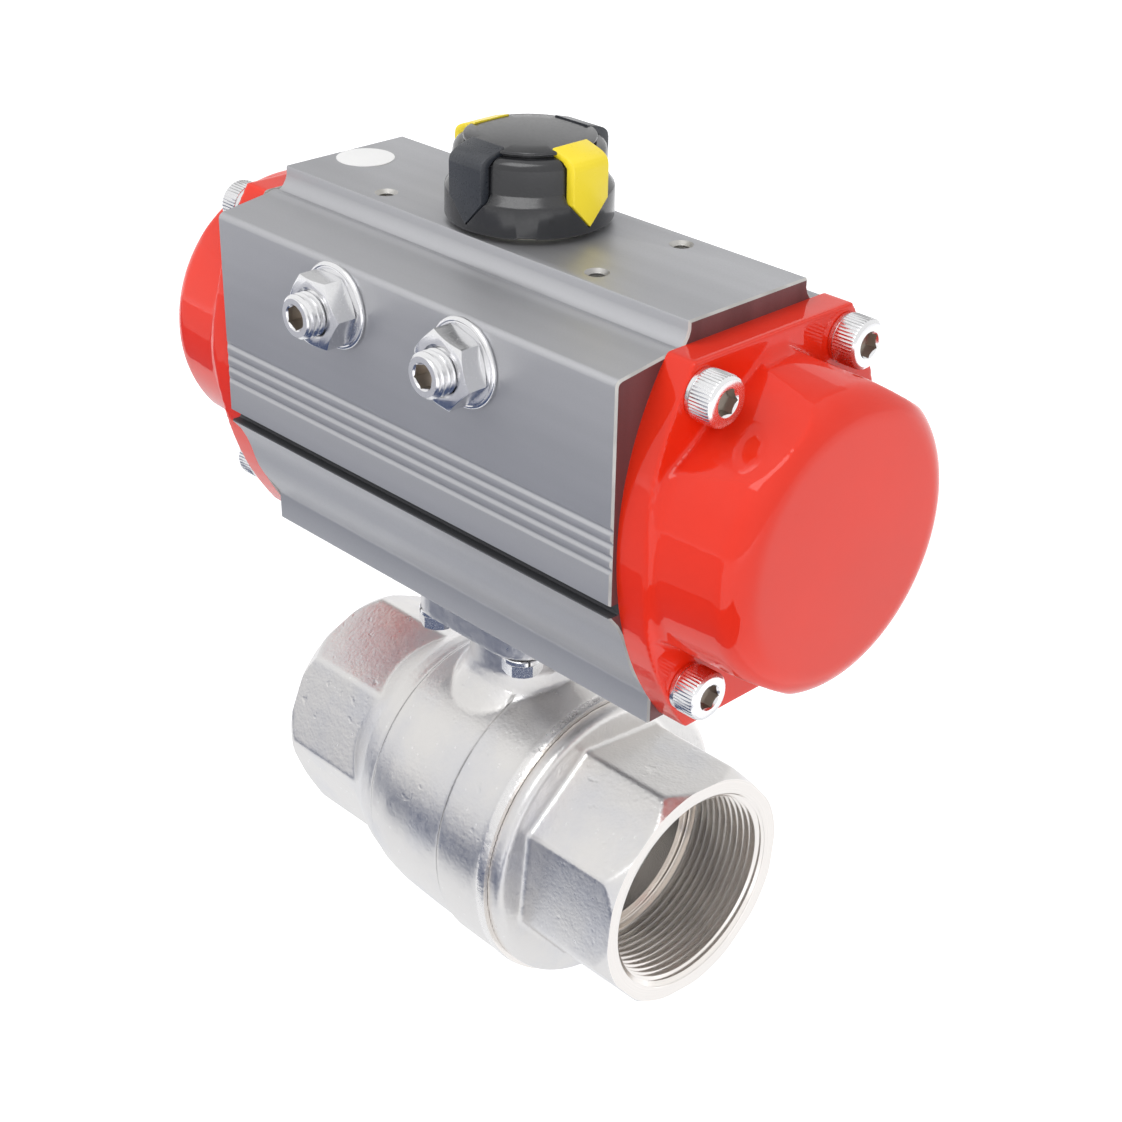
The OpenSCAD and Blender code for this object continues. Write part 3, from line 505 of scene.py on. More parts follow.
def cut_flat(piece: Piece, low: float, high: float) -> Piece:
    """Cut a helix flat at two heights, close the cuts and face it outwards.

    Args:
        piece: the helix.
        low: its new lower end.
        high: its new upper end.

    Returns:
        The solid.
    """
    with editing(piece):
        for at, inner in ((low, True), (high, False)):
            ends = {"plane_co": (0, 0, at), "plane_no": (0, 0, 1), "use_fill": True}
            bpy.ops.mesh.select_all(action="SELECT")
            bpy.ops.mesh.bisect(**ends, clear_inner=inner, clear_outer=not inner)
    face_out(piece)
    return piece


def thread(core: float, crest: float, pitch: float, low: float, high: float, steps: int = 40) -> Piece:
    """A rod with a real screw thread along Z, cut flat at both ends.

    Args:
        core: its radius in the grooves.
        crest: its radius on the thread.
        pitch: the distance from turn to turn.
        low: its lower end.
        high: its upper end.
        steps: faces round one turn.

    Returns:
        The threaded solid.
    """
    start = low - 2 * pitch
    shares = [(0.0, core), (0.1, core), (0.42, crest), (0.58, crest), (0.9, core), (1.0, core)]
    points = [(r, 0.0, start + pitch * s) for s, r in shares]
    piece = trace("thread", points, closed=False)
    turns = math.ceil((high - low) / pitch) + 4
    wind(piece, pitch, turns, steps, use_merge_vertices=True, merge_threshold=0.001)
    with editing(piece):
        bpy.ops.mesh.select_all(action="SELECT")
        bpy.ops.mesh.remove_doubles(threshold=0.001)
    return cut_flat(piece, low, high)


def cast(piece: Piece, voxel: float, passes: int, kept: float, ripple: float) -> None:
    """Melt joined solids into one casting with soft inner and outer corners.

    Args:
        piece: overlapping solids joined into one object.
        voxel: the cell size.
        passes: how often the skin is smoothed.
        kept: the share of the triangles that stays.
        ripple: how far the skin wanders, for the unevenness of a casting.
    """
    apply(piece, "REMESH", mode="VOXEL", voxel_size=voxel, adaptivity=0.0)
    apply(piece, "SMOOTH", factor=0.5, iterations=passes)
    if ripple:
        clouds = bpy.data.textures.new("unevenness", "CLOUDS")
        clouds.noise_scale = 9.0
        apply(piece, "DISPLACE", texture=clouds, strength=ripple, mid_level=0.5)
    apply(piece, "DECIMATE", ratio=kept)


def settle(piece: Piece, name: str, body: str, node: str, angle: float = 32.0) -> Piece:
    """Bring a piece to metres, smooth it, and hang it on its body.

    Args:
        piece: the finished piece in millimetres.
        name: its name.
        body: the CAD body that it moves with.
        node: the CAD node that it stands for.
        angle: edges sharper than this stay sharp, in degrees.

    Returns:
        The settled piece.
    """
    piece.name = name
    piece.data.name = name
    focus(piece)
    piece.scale = (MM, MM, MM)
    bpy.ops.object.transform_apply(location=True, rotation=True, scale=True)
    bpy.ops.object.shade_smooth_by_angle(angle=math.radians(angle))
    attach(piece, body)
    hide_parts(node)
    log.info("%s: %d faces, rides on %s", name, len(piece.data.polygons), body)
    return piece


# Node trees


def add(tree: Tree, kind: str, inputs: dict | None = None, **settings: object) -> bpy.types.Node:
    """Add a node, set it up and wire its inputs.

    Args:
        tree: the node tree.
        kind: the node's type without its prefix ShaderNode.
        inputs: values or sockets by input name or number.
        settings: the node's own settings.

    Returns:
        The node.
    """
    node = tree.nodes.new("ShaderNode" + kind)
    for key, value in settings.items():
        setattr(node, key, value)
    for key, value in (inputs or {}).items():
        if isinstance(value, bpy.types.NodeSocket):
            tree.links.new(value, node.inputs[key])
        else:
            node.inputs[key].default_value = value
    return node


def blend_colours(tree: Tree, factor: object, first: object, second: object) -> object:
    """Mix two colours.

    Args:
        tree: the node tree.
        factor: the share of the second colour.
        first: a colour or socket.
        second: a colour or socket.

    Returns:
        The colour socket of the mix.
    """
    node = add(tree, "Mix", data_type="RGBA")
    for index, value in ((0, factor), (6, first), (7, second)):
        if isinstance(value, bpy.types.NodeSocket):
            tree.links.new(value, node.inputs[index])
        elif index:
            node.inputs[index].default_value = (*value, 1.0)
        else:
            node.inputs[index].default_value = value
    return node.outputs[2]


def math_node(tree: Tree, operation: str, *values: object) -> object:
    """Calculate with values or sockets.

    Args:
        tree: the node tree.
        operation: the operation's name.
        values: its inputs in order.

    Returns:
        The result's socket.
    """
    inputs = dict(enumerate(values))
    return add(tree, "Math", inputs, operation=operation).outputs[0]


def times(tree: Tree, *values: object) -> object:
    """The product of two values or sockets."""
    return math_node(tree, "MULTIPLY", *values)


def spread(tree: Tree, value: object, low: float, high: float, to_low: float, to_high: float) -> object:
    """Map a range of values to another, held at its ends.

    Args:
        tree: the node tree.
        value: the socket that is mapped.
        low: the value that becomes to_low.
        high: the value that becomes to_high.
        to_low: the result at low.
        to_high: the result at high.

    Returns:
        The result's socket.
    """
    inputs = {0: value, 1: low, 2: high, 3: to_low, 4: to_high}
    return add(tree, "MapRange", inputs).outputs[0]


class Effects:
    """Node groups that several finishes share."""

    def __init__(self) -> None:
        """Build every group once."""
        self.grain = self.build_grain()
        self.lines = self.build_lines()
        self.wear = self.build_wear()
        self.dust = self.build_dust()
        self.skin = self.build_skin()
        self.rings = self.build_rings()
        self.line = self.build_line()

    def group(self, name: str, inputs: dict[str, object], outputs: Sequence[str]) -> tuple:
        """Start a group with its sockets.

        Args:
            name: the group's name.
            inputs: default values by name; a float or a vector.
            outputs: names of the value outputs.

        Returns:
            The tree, its input node and its output node.
        """
        tree = bpy.data.node_groups.new(name, "ShaderNodeTree")
        for key, value in inputs.items():
            kind = "NodeSocketFloat" if isinstance(value, float) else "NodeSocketVector"
            socket = tree.interface.new_socket(key, in_out="INPUT", socket_type=kind)
            socket.default_value = value
        for key in outputs:
            tree.interface.new_socket(key, in_out="OUTPUT", socket_type="NodeSocketFloat")
        return tree, tree.nodes.new("NodeGroupInput"), tree.nodes.new("NodeGroupOutput")

    def place_of(self, tree: Tree) -> object:
        """The socket with a point's place on the object, in metres."""
        return add(tree, "TexCoord").outputs["Object"]

    def build_grain(self) -> Tree:
        """Fine grain over broad cloudiness.

        Returns:
            The group's tree.
        """
        tree, given, out = self.group("grain", {"Scale": 900.0, "Cloud Scale": 40.0}, ["Fine", "Cloud"])
        place = self.place_of(tree)
        fine = add(tree, "TexNoise", {"Vector": place, "Scale": given.outputs["Scale"], "Detail": 3.0})
        cloud_in = {"Vector": place, "Scale": given.outputs["Cloud Scale"], "Detail": 4.0}
        cloud = add(tree, "TexNoise", cloud_in)
        tree.links.new(fine.outputs[0], out.inputs["Fine"])
        tree.links.new(spread(tree, cloud.outputs[0], 0.3, 0.7, 0.0, 1.0), out.inputs["Cloud"])
        return tree

    def build_lines(self) -> Tree:
        """Lines drawn out along one direction, as a die or a brush leaves them.

        Returns:
            The group's tree.
        """
        tree, given, out = self.group("drawn_lines", {"Stretch": (20.0, 900.0, 900.0)}, ["Line", "Band"])
        place = self.place_of(tree)
        long = add(tree, "VectorMath", {0: place, 1: given.outputs["Stretch"]}, operation="MULTIPLY")
        fine = add(tree, "TexNoise", {"Vector": long.outputs[0], "Scale": 1.0, "Detail": 4.0})
        band = add(tree, "TexNoise", {"Vector": long.outputs[0], "Scale": 0.13, "Detail": 2.0})
        tree.links.new(fine.outputs[0], out.inputs["Line"])
        tree.links.new(spread(tree, band.outputs[0], 0.35, 0.65, 0.0, 1.0), out.inputs["Band"])
        return tree

    def build_wear(self) -> Tree:
        """A mask on outer edges, broken up by noise.

        Returns:
            The group's tree.
        """
        tree, given, out = self.group("edge_wear", {"Radius": 0.0006, "Amount": 0.5}, ["Mask"])
        rounded = add(tree, "Bevel", {"Radius": given.outputs["Radius"]}, samples=4)
        plain = add(tree, "NewGeometry")
        dot = add(
            tree, "VectorMath", {0: rounded.outputs[0], 1: plain.outputs["Normal"]}, operation="DOT_PRODUCT"
        )
        edge = spread(tree, dot.outputs["Value"], 0.99, 0.86, 0.0, 1.0)
        noise = add(tree, "TexNoise", {"Vector": self.place_of(tree), "Scale": 420.0, "Detail": 4.0})
        broken = times(tree, edge, spread(tree, noise.outputs[0], 0.3, 0.62, 0.15, 1.0))
        mask = times(tree, broken, given.outputs["Amount"])
        tree.links.new(mask, out.inputs["Mask"])
        return tree

    def build_dust(self) -> Tree:
        """A thin film where the surface looks up.

        Returns:
            The group's tree.
        """
        tree, given, out = self.group("dust", {"Amount": 0.1}, ["Mask"])
        normal = add(tree, "NewGeometry").outputs["Normal"]
        height = add(tree, "SeparateXYZ", {0: normal}).outputs[2]
        facing = spread(tree, height, 0.2, 0.95, 0.0, 1.0)
        noise = add(tree, "TexNoise", {"Vector": self.place_of(tree), "Scale": 160.0, "Detail": 5.0})
        patch = spread(tree, noise.outputs[0], 0.35, 0.7, 0.3, 1.0)
        mask = times(tree, times(tree, facing, patch), given.outputs["Amount"])
        tree.links.new(mask, out.inputs["Mask"])
        return tree

    def build_skin(self) -> Tree:
        """The skin of a blasted casting: dimples, pits and bright specks.

        Returns:
            The group's tree.
        """
        tree, given, out = self.group("cast_skin", {"Scale": 1.0}, ["Height", "Speck", "Stain and reflection tint"])
        place = self.place_of(tree)
        sized = add(tree, "VectorMath", {0: place, "Scale": given.outputs["Scale"]}, operation="SCALE")
        here = sized.outputs[0]
        dimple = add(tree, "TexVoronoi", {"Vector": here, "Scale": 1100.0}, feature="SMOOTH_F1")
        rough = add(tree, "TexNoise", {"Vector": here, "Scale": 330.0, "Detail": 5.0, "Roughness": 0.6})
        pit = add(tree, "TexNoise", {"Vector": here, "Scale": 210.0, "Detail": 2.0})
        pits = spread(tree, pit.outputs[0], 0.66, 0.74, 0.0, -0.9)
        height = math_node(tree, "ADD", times(tree, dimple.outputs[0], 0.5), rough.outputs[0])
        speck = add(tree, "TexVoronoi", {"Vector": here, "Scale": 620.0, "Randomness": 1.0})
        chosen = add(tree, "SeparateXYZ", {0: speck.outputs["Color"]}).outputs[0]
        lit = math_node(tree, "GREATER_THAN", chosen, 0.9)
        near = spread(tree, speck.outputs["Distance"], 0.12, 0.3, 1.0, 0.0)
        stain_and_reflection_tint = add(tree, "TexNoise", {"Vector": here, "Scale": 38.0, "Detail": 5.0, "Roughness": 0.55})
        tree.links.new(math_node(tree, "ADD", height, pits), out.inputs["Height"])
        tree.links.new(times(tree, lit, near), out.inputs["Speck"])
        tree.links.new(spread(tree, stain_and_reflection_tint.outputs[0], 0.3, 0.7, 0.0, 1.0), out.inputs["Stain and reflection tint"])
        return tree

    def build_rings(self) -> Tree:
        """Fine rings round an axis, as a lathe tool leaves them.

        Returns:
            The group's tree.
        """
        inputs = {"Centre": (0.0, 0.0, 0.0), "Across": (0.0, 1.0, 1.0), "Scale": 2600.0}
        tree, given, out = self.group("tool_rings", inputs, ["Ring"])
        moved = add(
            tree, "VectorMath", {0: self.place_of(tree), 1: given.outputs["Centre"]}, operation="SUBTRACT"
        )
        inputs = {0: moved.outputs[0], 1: given.outputs["Across"]}
        flat = add(tree, "VectorMath", inputs, operation="MULTIPLY")
        radius = add(tree, "VectorMath", {0: flat.outputs[0]}, operation="LENGTH").outputs["Value"]
        along = add(tree, "VectorMath", {0: moved.outputs[0], 1: (1.0, 1.0, 1.0)}, operation="DOT_PRODUCT")
        mixed = math_node(tree, "ADD", radius, times(tree, along.outputs["Value"], 0.007))
        inputs = {"W": mixed, "Scale": given.outputs["Scale"], "Detail": 2.0}
        noise = add(tree, "TexNoise", inputs, noise_dimensions="1D")
        tree.links.new(noise.outputs[0], out.inputs["Ring"])
        return tree

    def build_line(self) -> Tree:
        """A thin line round the pipe axis, at the small step where two parts of a mould met; the casting
        darkens it as painted shade of that step.

        Returns:
            The group's tree.
        """
        tree, given, out = self.group("step_line_painted_shade", {"At": 0.0, "Reach": 0.046}, ["Mask"])
        place = self.place_of(tree)
        parts = add(tree, "SeparateXYZ", {0: place}).outputs
        off = math_node(tree, "ABSOLUTE", math_node(tree, "SUBTRACT", parts[0], given.outputs["At"]))
        near = spread(tree, off, 0.15 * MM, 0.65 * MM, 1.0, 0.0)
        round_pipe = add(tree, "CombineXYZ", {1: parts[1], 2: parts[2]}).outputs[0]
        radius = add(tree, "VectorMath", {0: round_pipe}, operation="LENGTH").outputs["Value"]
        inside = math_node(tree, "LESS_THAN", radius, given.outputs["Reach"])
        noise = add(tree, "TexNoise", {"Vector": place, "Scale": 120.0, "Detail": 3.0})
        broken = spread(tree, noise.outputs[0], 0.3, 0.5, 0.35, 1.0)
        mask = times(tree, times(tree, near, inside), broken)
        tree.links.new(mask, out.inputs["Mask"])
        return tree


# Finishes


@dataclass(frozen=True)
class Finish:
    """What every finish has: a name and a colour in linear values."""

    name: str
    colour: Colour

    def start(self) -> tuple:
        """Make the material and find its shader.

        Returns:
            The material, its tree and its Principled shader.
        """
        material = bpy.data.materials.new(self.name)
        material.use_nodes = True
        shader = material.node_tree.nodes["Principled BSDF"]
        shader.inputs["Base Color"].default_value = (*self.colour, 1.0)
        return material, material.node_tree, shader

    def tint(self, share: float) -> Colour:
        """The colour made lighter or darker by a share."""
        return tuple(min(1.0, max(0.0, c * share)) for c in self.colour)

    def place(self, tree: Tree, group: Tree, **inputs: object) -> bpy.types.Node:
        """Put an effect into the material.

        Args:
            tree: the material's tree.
            group: the effect's tree.
            inputs: its values, with _ for the spaces in their names.

        Returns:
            The group's node.
        """
        node = tree.nodes.new("ShaderNodeGroup")
        node.node_tree = group
        for key, value in inputs.items():
            node.inputs[key.replace("_", " ")].default_value = value
        return node

    def bump(self, tree: Tree, height: object, depth: float, shader: bpy.types.Node) -> None:
        """Bump the surface by a height.

        Args:
            tree: the material's tree.
            height: the socket with the height, about 0 to 1.
            depth: what a height of 1 means, in millimetres.
            shader: the shader that takes the normal.
        """
        node = add(tree, "Bump", {"Height": height, "Distance": depth * MM, "Strength": 1.0})
        tree.links.new(node.outputs[0], shader.inputs["Normal"])


@dataclass(frozen=True)
class DrawnMetal(Finish):
    """Extruded, drawn or brushed metal with lines along one direction."""

    roughness: float = 0.35
    metallic: float = 1.0
    stretch: Point = (20.0, 900.0, 900.0)
    contrast: float = 0.06
    depth: float = 0.004
    grain_scale: float = 2200.0
    grain_depth: float = 0.6
    wear: float = 0.4
    wear_radius: float = 0.5
    worn_colour: Colour = (0.8, 0.8, 0.82)
    dust: float = 0.0

    def build(self, effects: Effects) -> Finished:
        """Make the material.

        Args:
            effects: the shared node groups.

        Returns:
            The material.
        """
        material, tree, shader = self.start()
        lines = self.place(tree, effects.lines, Stretch=self.stretch)
        grain = self.place(tree, effects.grain, Scale=self.grain_scale, Cloud_Scale=22.0)
        wear = self.place(tree, effects.wear, Radius=self.wear_radius * MM, Amount=self.wear)
        light = self.tint(1 + self.contrast)
        dark = self.tint(1 - self.contrast)
        colour = blend_colours(tree, lines.outputs["Band"], dark, light)
        cloud = spread(tree, grain.outputs["Cloud"], 0.0, 1.0, 0.0, 0.35)
        colour = blend_colours(tree, cloud, colour, self.tint(1 - 1.5 * self.contrast))
        colour = blend_colours(tree, wear.outputs["Mask"], colour, self.worn_colour)
        if self.dust:
            dust = self.place(tree, effects.dust, Amount=self.dust)
            colour = blend_colours(tree, dust.outputs["Mask"], colour, (0.62, 0.61, 0.6))
        tree.links.new(colour, shader.inputs["Base Color"])
        shader.inputs["Metallic"].default_value = self.metallic
        rough = spread(tree, grain.outputs["Fine"], 0.3, 0.7, self.roughness - 0.06, self.roughness + 0.06)
        tree.links.new(rough, shader.inputs["Roughness"])
        fine = times(tree, grain.outputs["Fine"], self.grain_depth)
        self.bump(tree, math_node(tree, "ADD", lines.outputs["Line"], fine), self.depth, shader)
        return material


@dataclass(frozen=True)
class TurnedMetal(Finish):
    """Metal with the rings of a lathe tool round an axis."""

    roughness: float = 0.22
    metallic: float = 1.0
    centre: Point = (0.0, 0.0, 0.0)
    across: Point = (0.0, 1.0, 1.0)
    scale: float = 2600.0
    depth: float = 0.004
    contrast: float = 0.1
    wear: float = 0.3

    def build(self, effects: Effects) -> Finished:
        """Make the material.

        Args:
            effects: the shared node groups.

        Returns:
            The material.
        """
        material, tree, shader = self.start()
        centre = tuple(c * MM for c in self.centre)
        rings = self.place(tree, effects.rings, Centre=centre, Across=self.across, Scale=self.scale)
        grain = self.place(tree, effects.grain, Scale=1500.0, Cloud_Scale=60.0)
        wear = self.place(tree, effects.wear, Radius=0.0004, Amount=self.wear)
        shade = spread(tree, rings.outputs["Ring"], 0.3, 0.7, 0.0, 1.0)
        colour = blend_colours(tree, shade, self.tint(1 - self.contrast), self.tint(1 + self.contrast))
        cloud = spread(tree, grain.outputs["Cloud"], 0.0, 1.0, 0.0, 0.4)
        colour = blend_colours(tree, cloud, colour, self.tint(1 - self.contrast))
        colour = blend_colours(tree, wear.outputs["Mask"], colour, (0.85, 0.85, 0.86))
        tree.links.new(colour, shader.inputs["Base Color"])
        shader.inputs["Metallic"].default_value = self.metallic
        rough = spread(tree, grain.outputs["Cloud"], 0.0, 1.0, self.roughness - 0.03, self.roughness + 0.04)
        tree.links.new(rough, shader.inputs["Roughness"])
        self.bump(tree, rings.outputs["Ring"], self.depth, shader)
        return material


@dataclass(frozen=True)
class CastMetal(Finish):
    """A blasted casting, with a rough seam across it where the halves meet, thin lines of painted shade at
    its mould steps where given, and patches of a stain colour that on the valve are partly painted
    reflection.
    """

    roughness: float = 0.42
    metallic: float = 1.0
    depth: float = 0.035
    contrast: float = 0.08
    stain_and_reflection_tint: Colour = (0.5, 0.47, 0.45)
    stain_and_reflection_share: float = 0.25
    speck: float = 0.6
    skin_scale: float = 1.0
    wear: float = 0.35
    seam_low: float = 900.0
    seam_high: float = 901.0
    seam_depth: float = 0.14
    lines: tuple[float, ...] = ()
    line_depth: float = 0.2

    def build(self, effects: Effects) -> Finished:
        """Make the material.

        Args:
            effects: the shared node groups.

        Returns:
            The material.
        """
        material, tree, shader = self.start()
        skin = self.place(tree, effects.skin, Scale=self.skin_scale)
        wear = self.place(tree, effects.wear, Radius=0.0011, Amount=self.wear)
        # Patches of the stain colour: a real stain, and with the valve's bluish colour also painted
        # reflection of bluish surroundings.
        stain_and_reflection_tint = spread(tree, skin.outputs["Stain and reflection tint"], 0.35, 1.0, 0.0, self.stain_and_reflection_share)
        colour = blend_colours(tree, stain_and_reflection_tint, self.tint(1.0), self.stain_and_reflection_tint)
        shade = spread(tree, skin.outputs["Height"], 0.4, 1.2, 0.0, self.contrast * 2)
        colour = blend_colours(tree, shade, colour, self.tint(1.12))
        colour = blend_colours(tree, wear.outputs["Mask"], colour, (0.93, 0.92, 0.91))
        speck = times(tree, skin.outputs["Speck"], self.speck)
        colour = blend_colours(tree, speck, colour, (1.0, 1.0, 1.0))
        seam = self.seam(tree, effects)
        colour = blend_colours(tree, times(tree, seam, 0.35), colour, (0.95, 0.94, 0.93))
        height = times(tree, skin.outputs["Height"], self.depth)
        for at in self.lines:
            line = self.place(tree, effects.line, At=at * MM, Reach=46.0 * MM).outputs["Mask"]
            # Painted shade: the line at each mould step is darkened for the shade of the step, besides its
            # dent in the bump.
            colour = blend_colours(tree, times(tree, line, 0.8), colour, self.tint(0.4))
            height = math_node(tree, "SUBTRACT", height, times(tree, line, self.line_depth))
        tree.links.new(colour, shader.inputs["Base Color"])
        shader.inputs["Metallic"].default_value = self.metallic
        rough = spread(tree, skin.outputs["Height"], 0.4, 1.1, self.roughness - 0.07, self.roughness + 0.07)
        rough = math_node(tree, "SUBTRACT", rough, times(tree, speck, 0.2))
        rough = math_node(tree, "SUBTRACT", rough, times(tree, seam, 0.06))
        tree.links.new(rough, shader.inputs["Roughness"])
        noise = add(tree, "TexNoise", {"Vector": effects.place_of(tree), "Scale": 520.0, "Detail": 3.0})
        lumps = times(tree, times(tree, noise.outputs[0], seam), self.seam_depth)
        self.bump(tree, math_node(tree, "ADD", height, lumps), 1.0, shader)
        return material

    def seam(self, tree: Tree, effects: Effects) -> object:
        """A mask over the rough seam, by the place along the pipe.

        Args:
            tree: the material's tree.
            effects: the shared node groups.

        Returns:
            The mask's socket.
        """
        along = add(tree, "SeparateXYZ", {0: effects.place_of(tree)}).outputs[0]
        soft = 0.4 * MM
        rise = spread(tree, along, self.seam_low * MM - soft, self.seam_low * MM + soft, 0.0, 1.0)
        fall = spread(tree, along, self.seam_high * MM - soft, self.seam_high * MM + soft, 1.0, 0.0)
        return times(tree, rise, fall)


@dataclass(frozen=True)
class GlossPaint(Finish):
    """Sprayed gloss paint with orange peel and a clear top."""

    roughness: float = 0.38
    peel: float = 0.007
    peel_scale: float = 240.0
    coat: float = 0.75
    coat_roughness: float = 0.03
    wear: float = 0.25

    def build(self, effects: Effects) -> Finished:
        """Make the material.

        Args:
            effects: the shared node groups.

        Returns:
            The material.
        """
        material, tree, shader = self.start()
        grain = self.place(tree, effects.grain, Scale=self.peel_scale, Cloud_Scale=18.0)
        wear = self.place(tree, effects.wear, Radius=0.0007, Amount=self.wear)
        dust = self.place(tree, effects.dust, Amount=0.015)
        colour = blend_colours(tree, grain.outputs["Cloud"], self.tint(0.94), self.tint(1.05))
        colour = blend_colours(tree, wear.outputs["Mask"], colour, self.tint(1.25))
        colour = blend_colours(tree, dust.outputs["Mask"], colour, (0.75, 0.66, 0.62))
        tree.links.new(colour, shader.inputs["Base Color"])
        rough = spread(tree, grain.outputs["Cloud"], 0.0, 1.0, self.roughness - 0.05, self.roughness + 0.06)
        tree.links.new(rough, shader.inputs["Roughness"])
        shader.inputs["Specular IOR Level"].default_value = 0.05
        shader.inputs["Coat Weight"].default_value = self.coat
        shader.inputs["Coat Roughness"].default_value = self.coat_roughness
        self.bump(tree, grain.outputs["Fine"], self.peel, shader)
        return material


@dataclass(frozen=True)
class Moulded(Finish):
    """Moulded plastic, rubber and film with a fine grain."""

    roughness: float = 0.45
    depth: float = 0.01
    grain_scale: float = 1400.0
    contrast: float = 0.08
    wear: float = 0.3
    worn_colour: Colour = (0.2, 0.2, 0.21)
    dust: float = 0.04
    dust_colour: Colour = (0.5, 0.5, 0.5)
    specular: float = 0.5

    def build(self, effects: Effects) -> Finished:
        """Make the material.

        Args:
            effects: the shared node groups.

        Returns:
            The material.
        """
        material, tree, shader = self.start()
        grain = self.place(tree, effects.grain, Scale=self.grain_scale, Cloud_Scale=55.0)
        wear = self.place(tree, effects.wear, Radius=0.0005, Amount=self.wear)
        dust = self.place(tree, effects.dust, Amount=self.dust)
        light = self.tint(1 + self.contrast)
        colour = blend_colours(tree, grain.outputs["Cloud"], self.tint(1 - self.contrast), light)
        colour = blend_colours(tree, wear.outputs["Mask"], colour, self.worn_colour)
        colour = blend_colours(tree, dust.outputs["Mask"], colour, self.dust_colour)
        tree.links.new(colour, shader.inputs["Base Color"])
        rough = spread(tree, grain.outputs["Fine"], 0.3, 0.7, self.roughness - 0.06, self.roughness + 0.06)
        tree.links.new(rough, shader.inputs["Roughness"])
        shader.inputs["Specular IOR Level"].default_value = self.specular
        self.bump(tree, grain.outputs["Fine"], self.depth, shader)
        return material


class Finishes:
    """All finishes of the object, built once."""

    def __init__(self, effects: Effects) -> None:
        """Build the materials.

        Args:
            effects: the shared node groups.
        """
        grey = (0.475, 0.478, 0.497)
        steel = (0.84, 0.84, 0.85)
        self.anodised = DrawnMetal(
            "satin_anodising", grey, roughness=0.45, metallic=0.75, contrast=0.05, depth=0.006,
            wear=0.22, worn_colour=(0.55, 0.55, 0.56), dust=0.05,
        ).build(effects)
        # Painted shade and painted reflection: the sawn ends get a dark maroon colour that stands in for
        # their shade and the red caps reflected in them.
        self.end_shade_and_red_reflection = DrawnMetal(
            "end_painted_shade_and_red_reflection", (0.15, 0.07, 0.073), roughness=0.5, metallic=0.45, stretch=(900.0, 900.0, 40.0),
            contrast=0.18, depth=0.012, wear=0.0,
        ).build(effects)
        self.cut_edge = DrawnMetal(
            "cut_edge", (0.5, 0.49, 0.47), roughness=0.45, metallic=0.7, stretch=(700.0, 700.0, 700.0),
            contrast=0.2, depth=0.012, wear=0.0,
        ).build(effects)
        # Painted shade: the slot's faces get a near-black colour that stands in for the shade inside the deep
        # slot.
        self.slot = DrawnMetal(
            "slot_painted_shade", (0.07, 0.072, 0.078), roughness=0.6, metallic=0.3, wear=0.0,
        ).build(effects)
        self.sawn = DrawnMetal(
            "sawn_face", (0.72, 0.72, 0.73), roughness=0.36, stretch=(900.0, 900.0, 25.0), depth=0.012,
        ).build(effects)
        self.red = GlossPaint("gloss_red", (0.8, 0.026, 0.006)).build(effects)
        self.steel = DrawnMetal(
            "bright_fastener", steel, roughness=0.22, stretch=(260.0, 260.0, 260.0), depth=0.003,
        ).build(effects)
        self.socket = DrawnMetal(
            "socket_steel", (0.5, 0.46, 0.42), roughness=0.34, stretch=(400.0, 400.0, 400.0), wear=0.0,
        ).build(effects)
        # Partly painted reflection: the bluish stain colour stands in for bluish surroundings reflected on
        # the lower faces, besides real staining.
        self.cast = CastMetal(
            "blasted_stainless", (0.735, 0.72, 0.705), roughness=0.35, depth=0.085, contrast=0.14,
            seam_low=28.6, seam_high=31.5, stain_and_reflection_tint=(0.5, 0.53, 0.63), stain_and_reflection_share=0.4, speck=0.3,
            # The two mould steps, whose lines get painted shade.
            lines=(-22.2, 10.85),
        ).build(effects)
        # Partly painted light: the base is paler than machined stainless, and its diffuse share lights bores
        # and threads beyond the little light that reaches inside them.
        self.machined = TurnedMetal(
            "machined_stainless", (0.93, 0.89, 0.85), metallic=0.85, roughness=0.18, depth=0.0006,
            contrast=0.04,
        ).build(effects)
        self.black = Moulded(
            "black_moulding", (0.012, 0.0125, 0.015), roughness=0.2, specular=0.7, depth=0.0003,
        ).build(effects)
        self.slate = Moulded(
            "slate_plastic", (0.024, 0.028, 0.036), roughness=0.3, specular=0.6, depth=0.0006,
        ).build(effects)
        self.yellow = Moulded(
            "yellow_moulding", (1.0, 0.78, 0.03), roughness=0.33, contrast=0.02, depth=0.004,
            worn_colour=(1.0, 0.85, 0.25), dust=0.02,
        ).build(effects)
        self.shaft = TurnedMetal(
            "turned_steel", (0.5, 0.5, 0.51), across=(1.0, 1.0, 0.0), roughness=0.27,
        ).build(effects)
        self.spring = DrawnMetal(
            "spring_wire", (0.3, 0.32, 0.35), roughness=0.3, stretch=(500.0, 500.0, 500.0),
        ).build(effects)
        self.ball = TurnedMetal(
            "polished_ball", (0.83, 0.83, 0.83), roughness=0.1, depth=0.001, contrast=0.04,
        ).build(effects)
        self.piston = CastMetal(
            "cast_piston", (0.62, 0.63, 0.65), roughness=0.38, depth=0.02, stain_and_reflection_tint=(0.45, 0.45, 0.47),
            speck=0.2,
        ).build(effects)
        self.brass = TurnedMetal("turned_brass", (0.62, 0.45, 0.17), centre=(0.0, 33.0, 157.0)).build(effects)
        self.rubber = Moulded(
            "seal_rubber", (0.014, 0.014, 0.015), roughness=0.6, grain_scale=800.0,
        ).build(effects)
        self.bearing = Moulded(
            "bearing_moulding", (0.72, 0.69, 0.58), roughness=0.45, worn_colour=(0.85, 0.83, 0.75),
        ).build(effects)
        self.seat = Moulded(
            "waxy_seat", (0.84, 0.84, 0.81), roughness=0.35, contrast=0.03, worn_colour=(0.92, 0.92, 0.9),
        ).build(effects)
        self.film = Moulded(
            "white_film", (0.91, 0.91, 0.9), roughness=0.5, contrast=0.02, worn_colour=(0.7, 0.7, 0.7),
            wear=0.5, dust=0.01,
        ).build(effects)


# Actuator


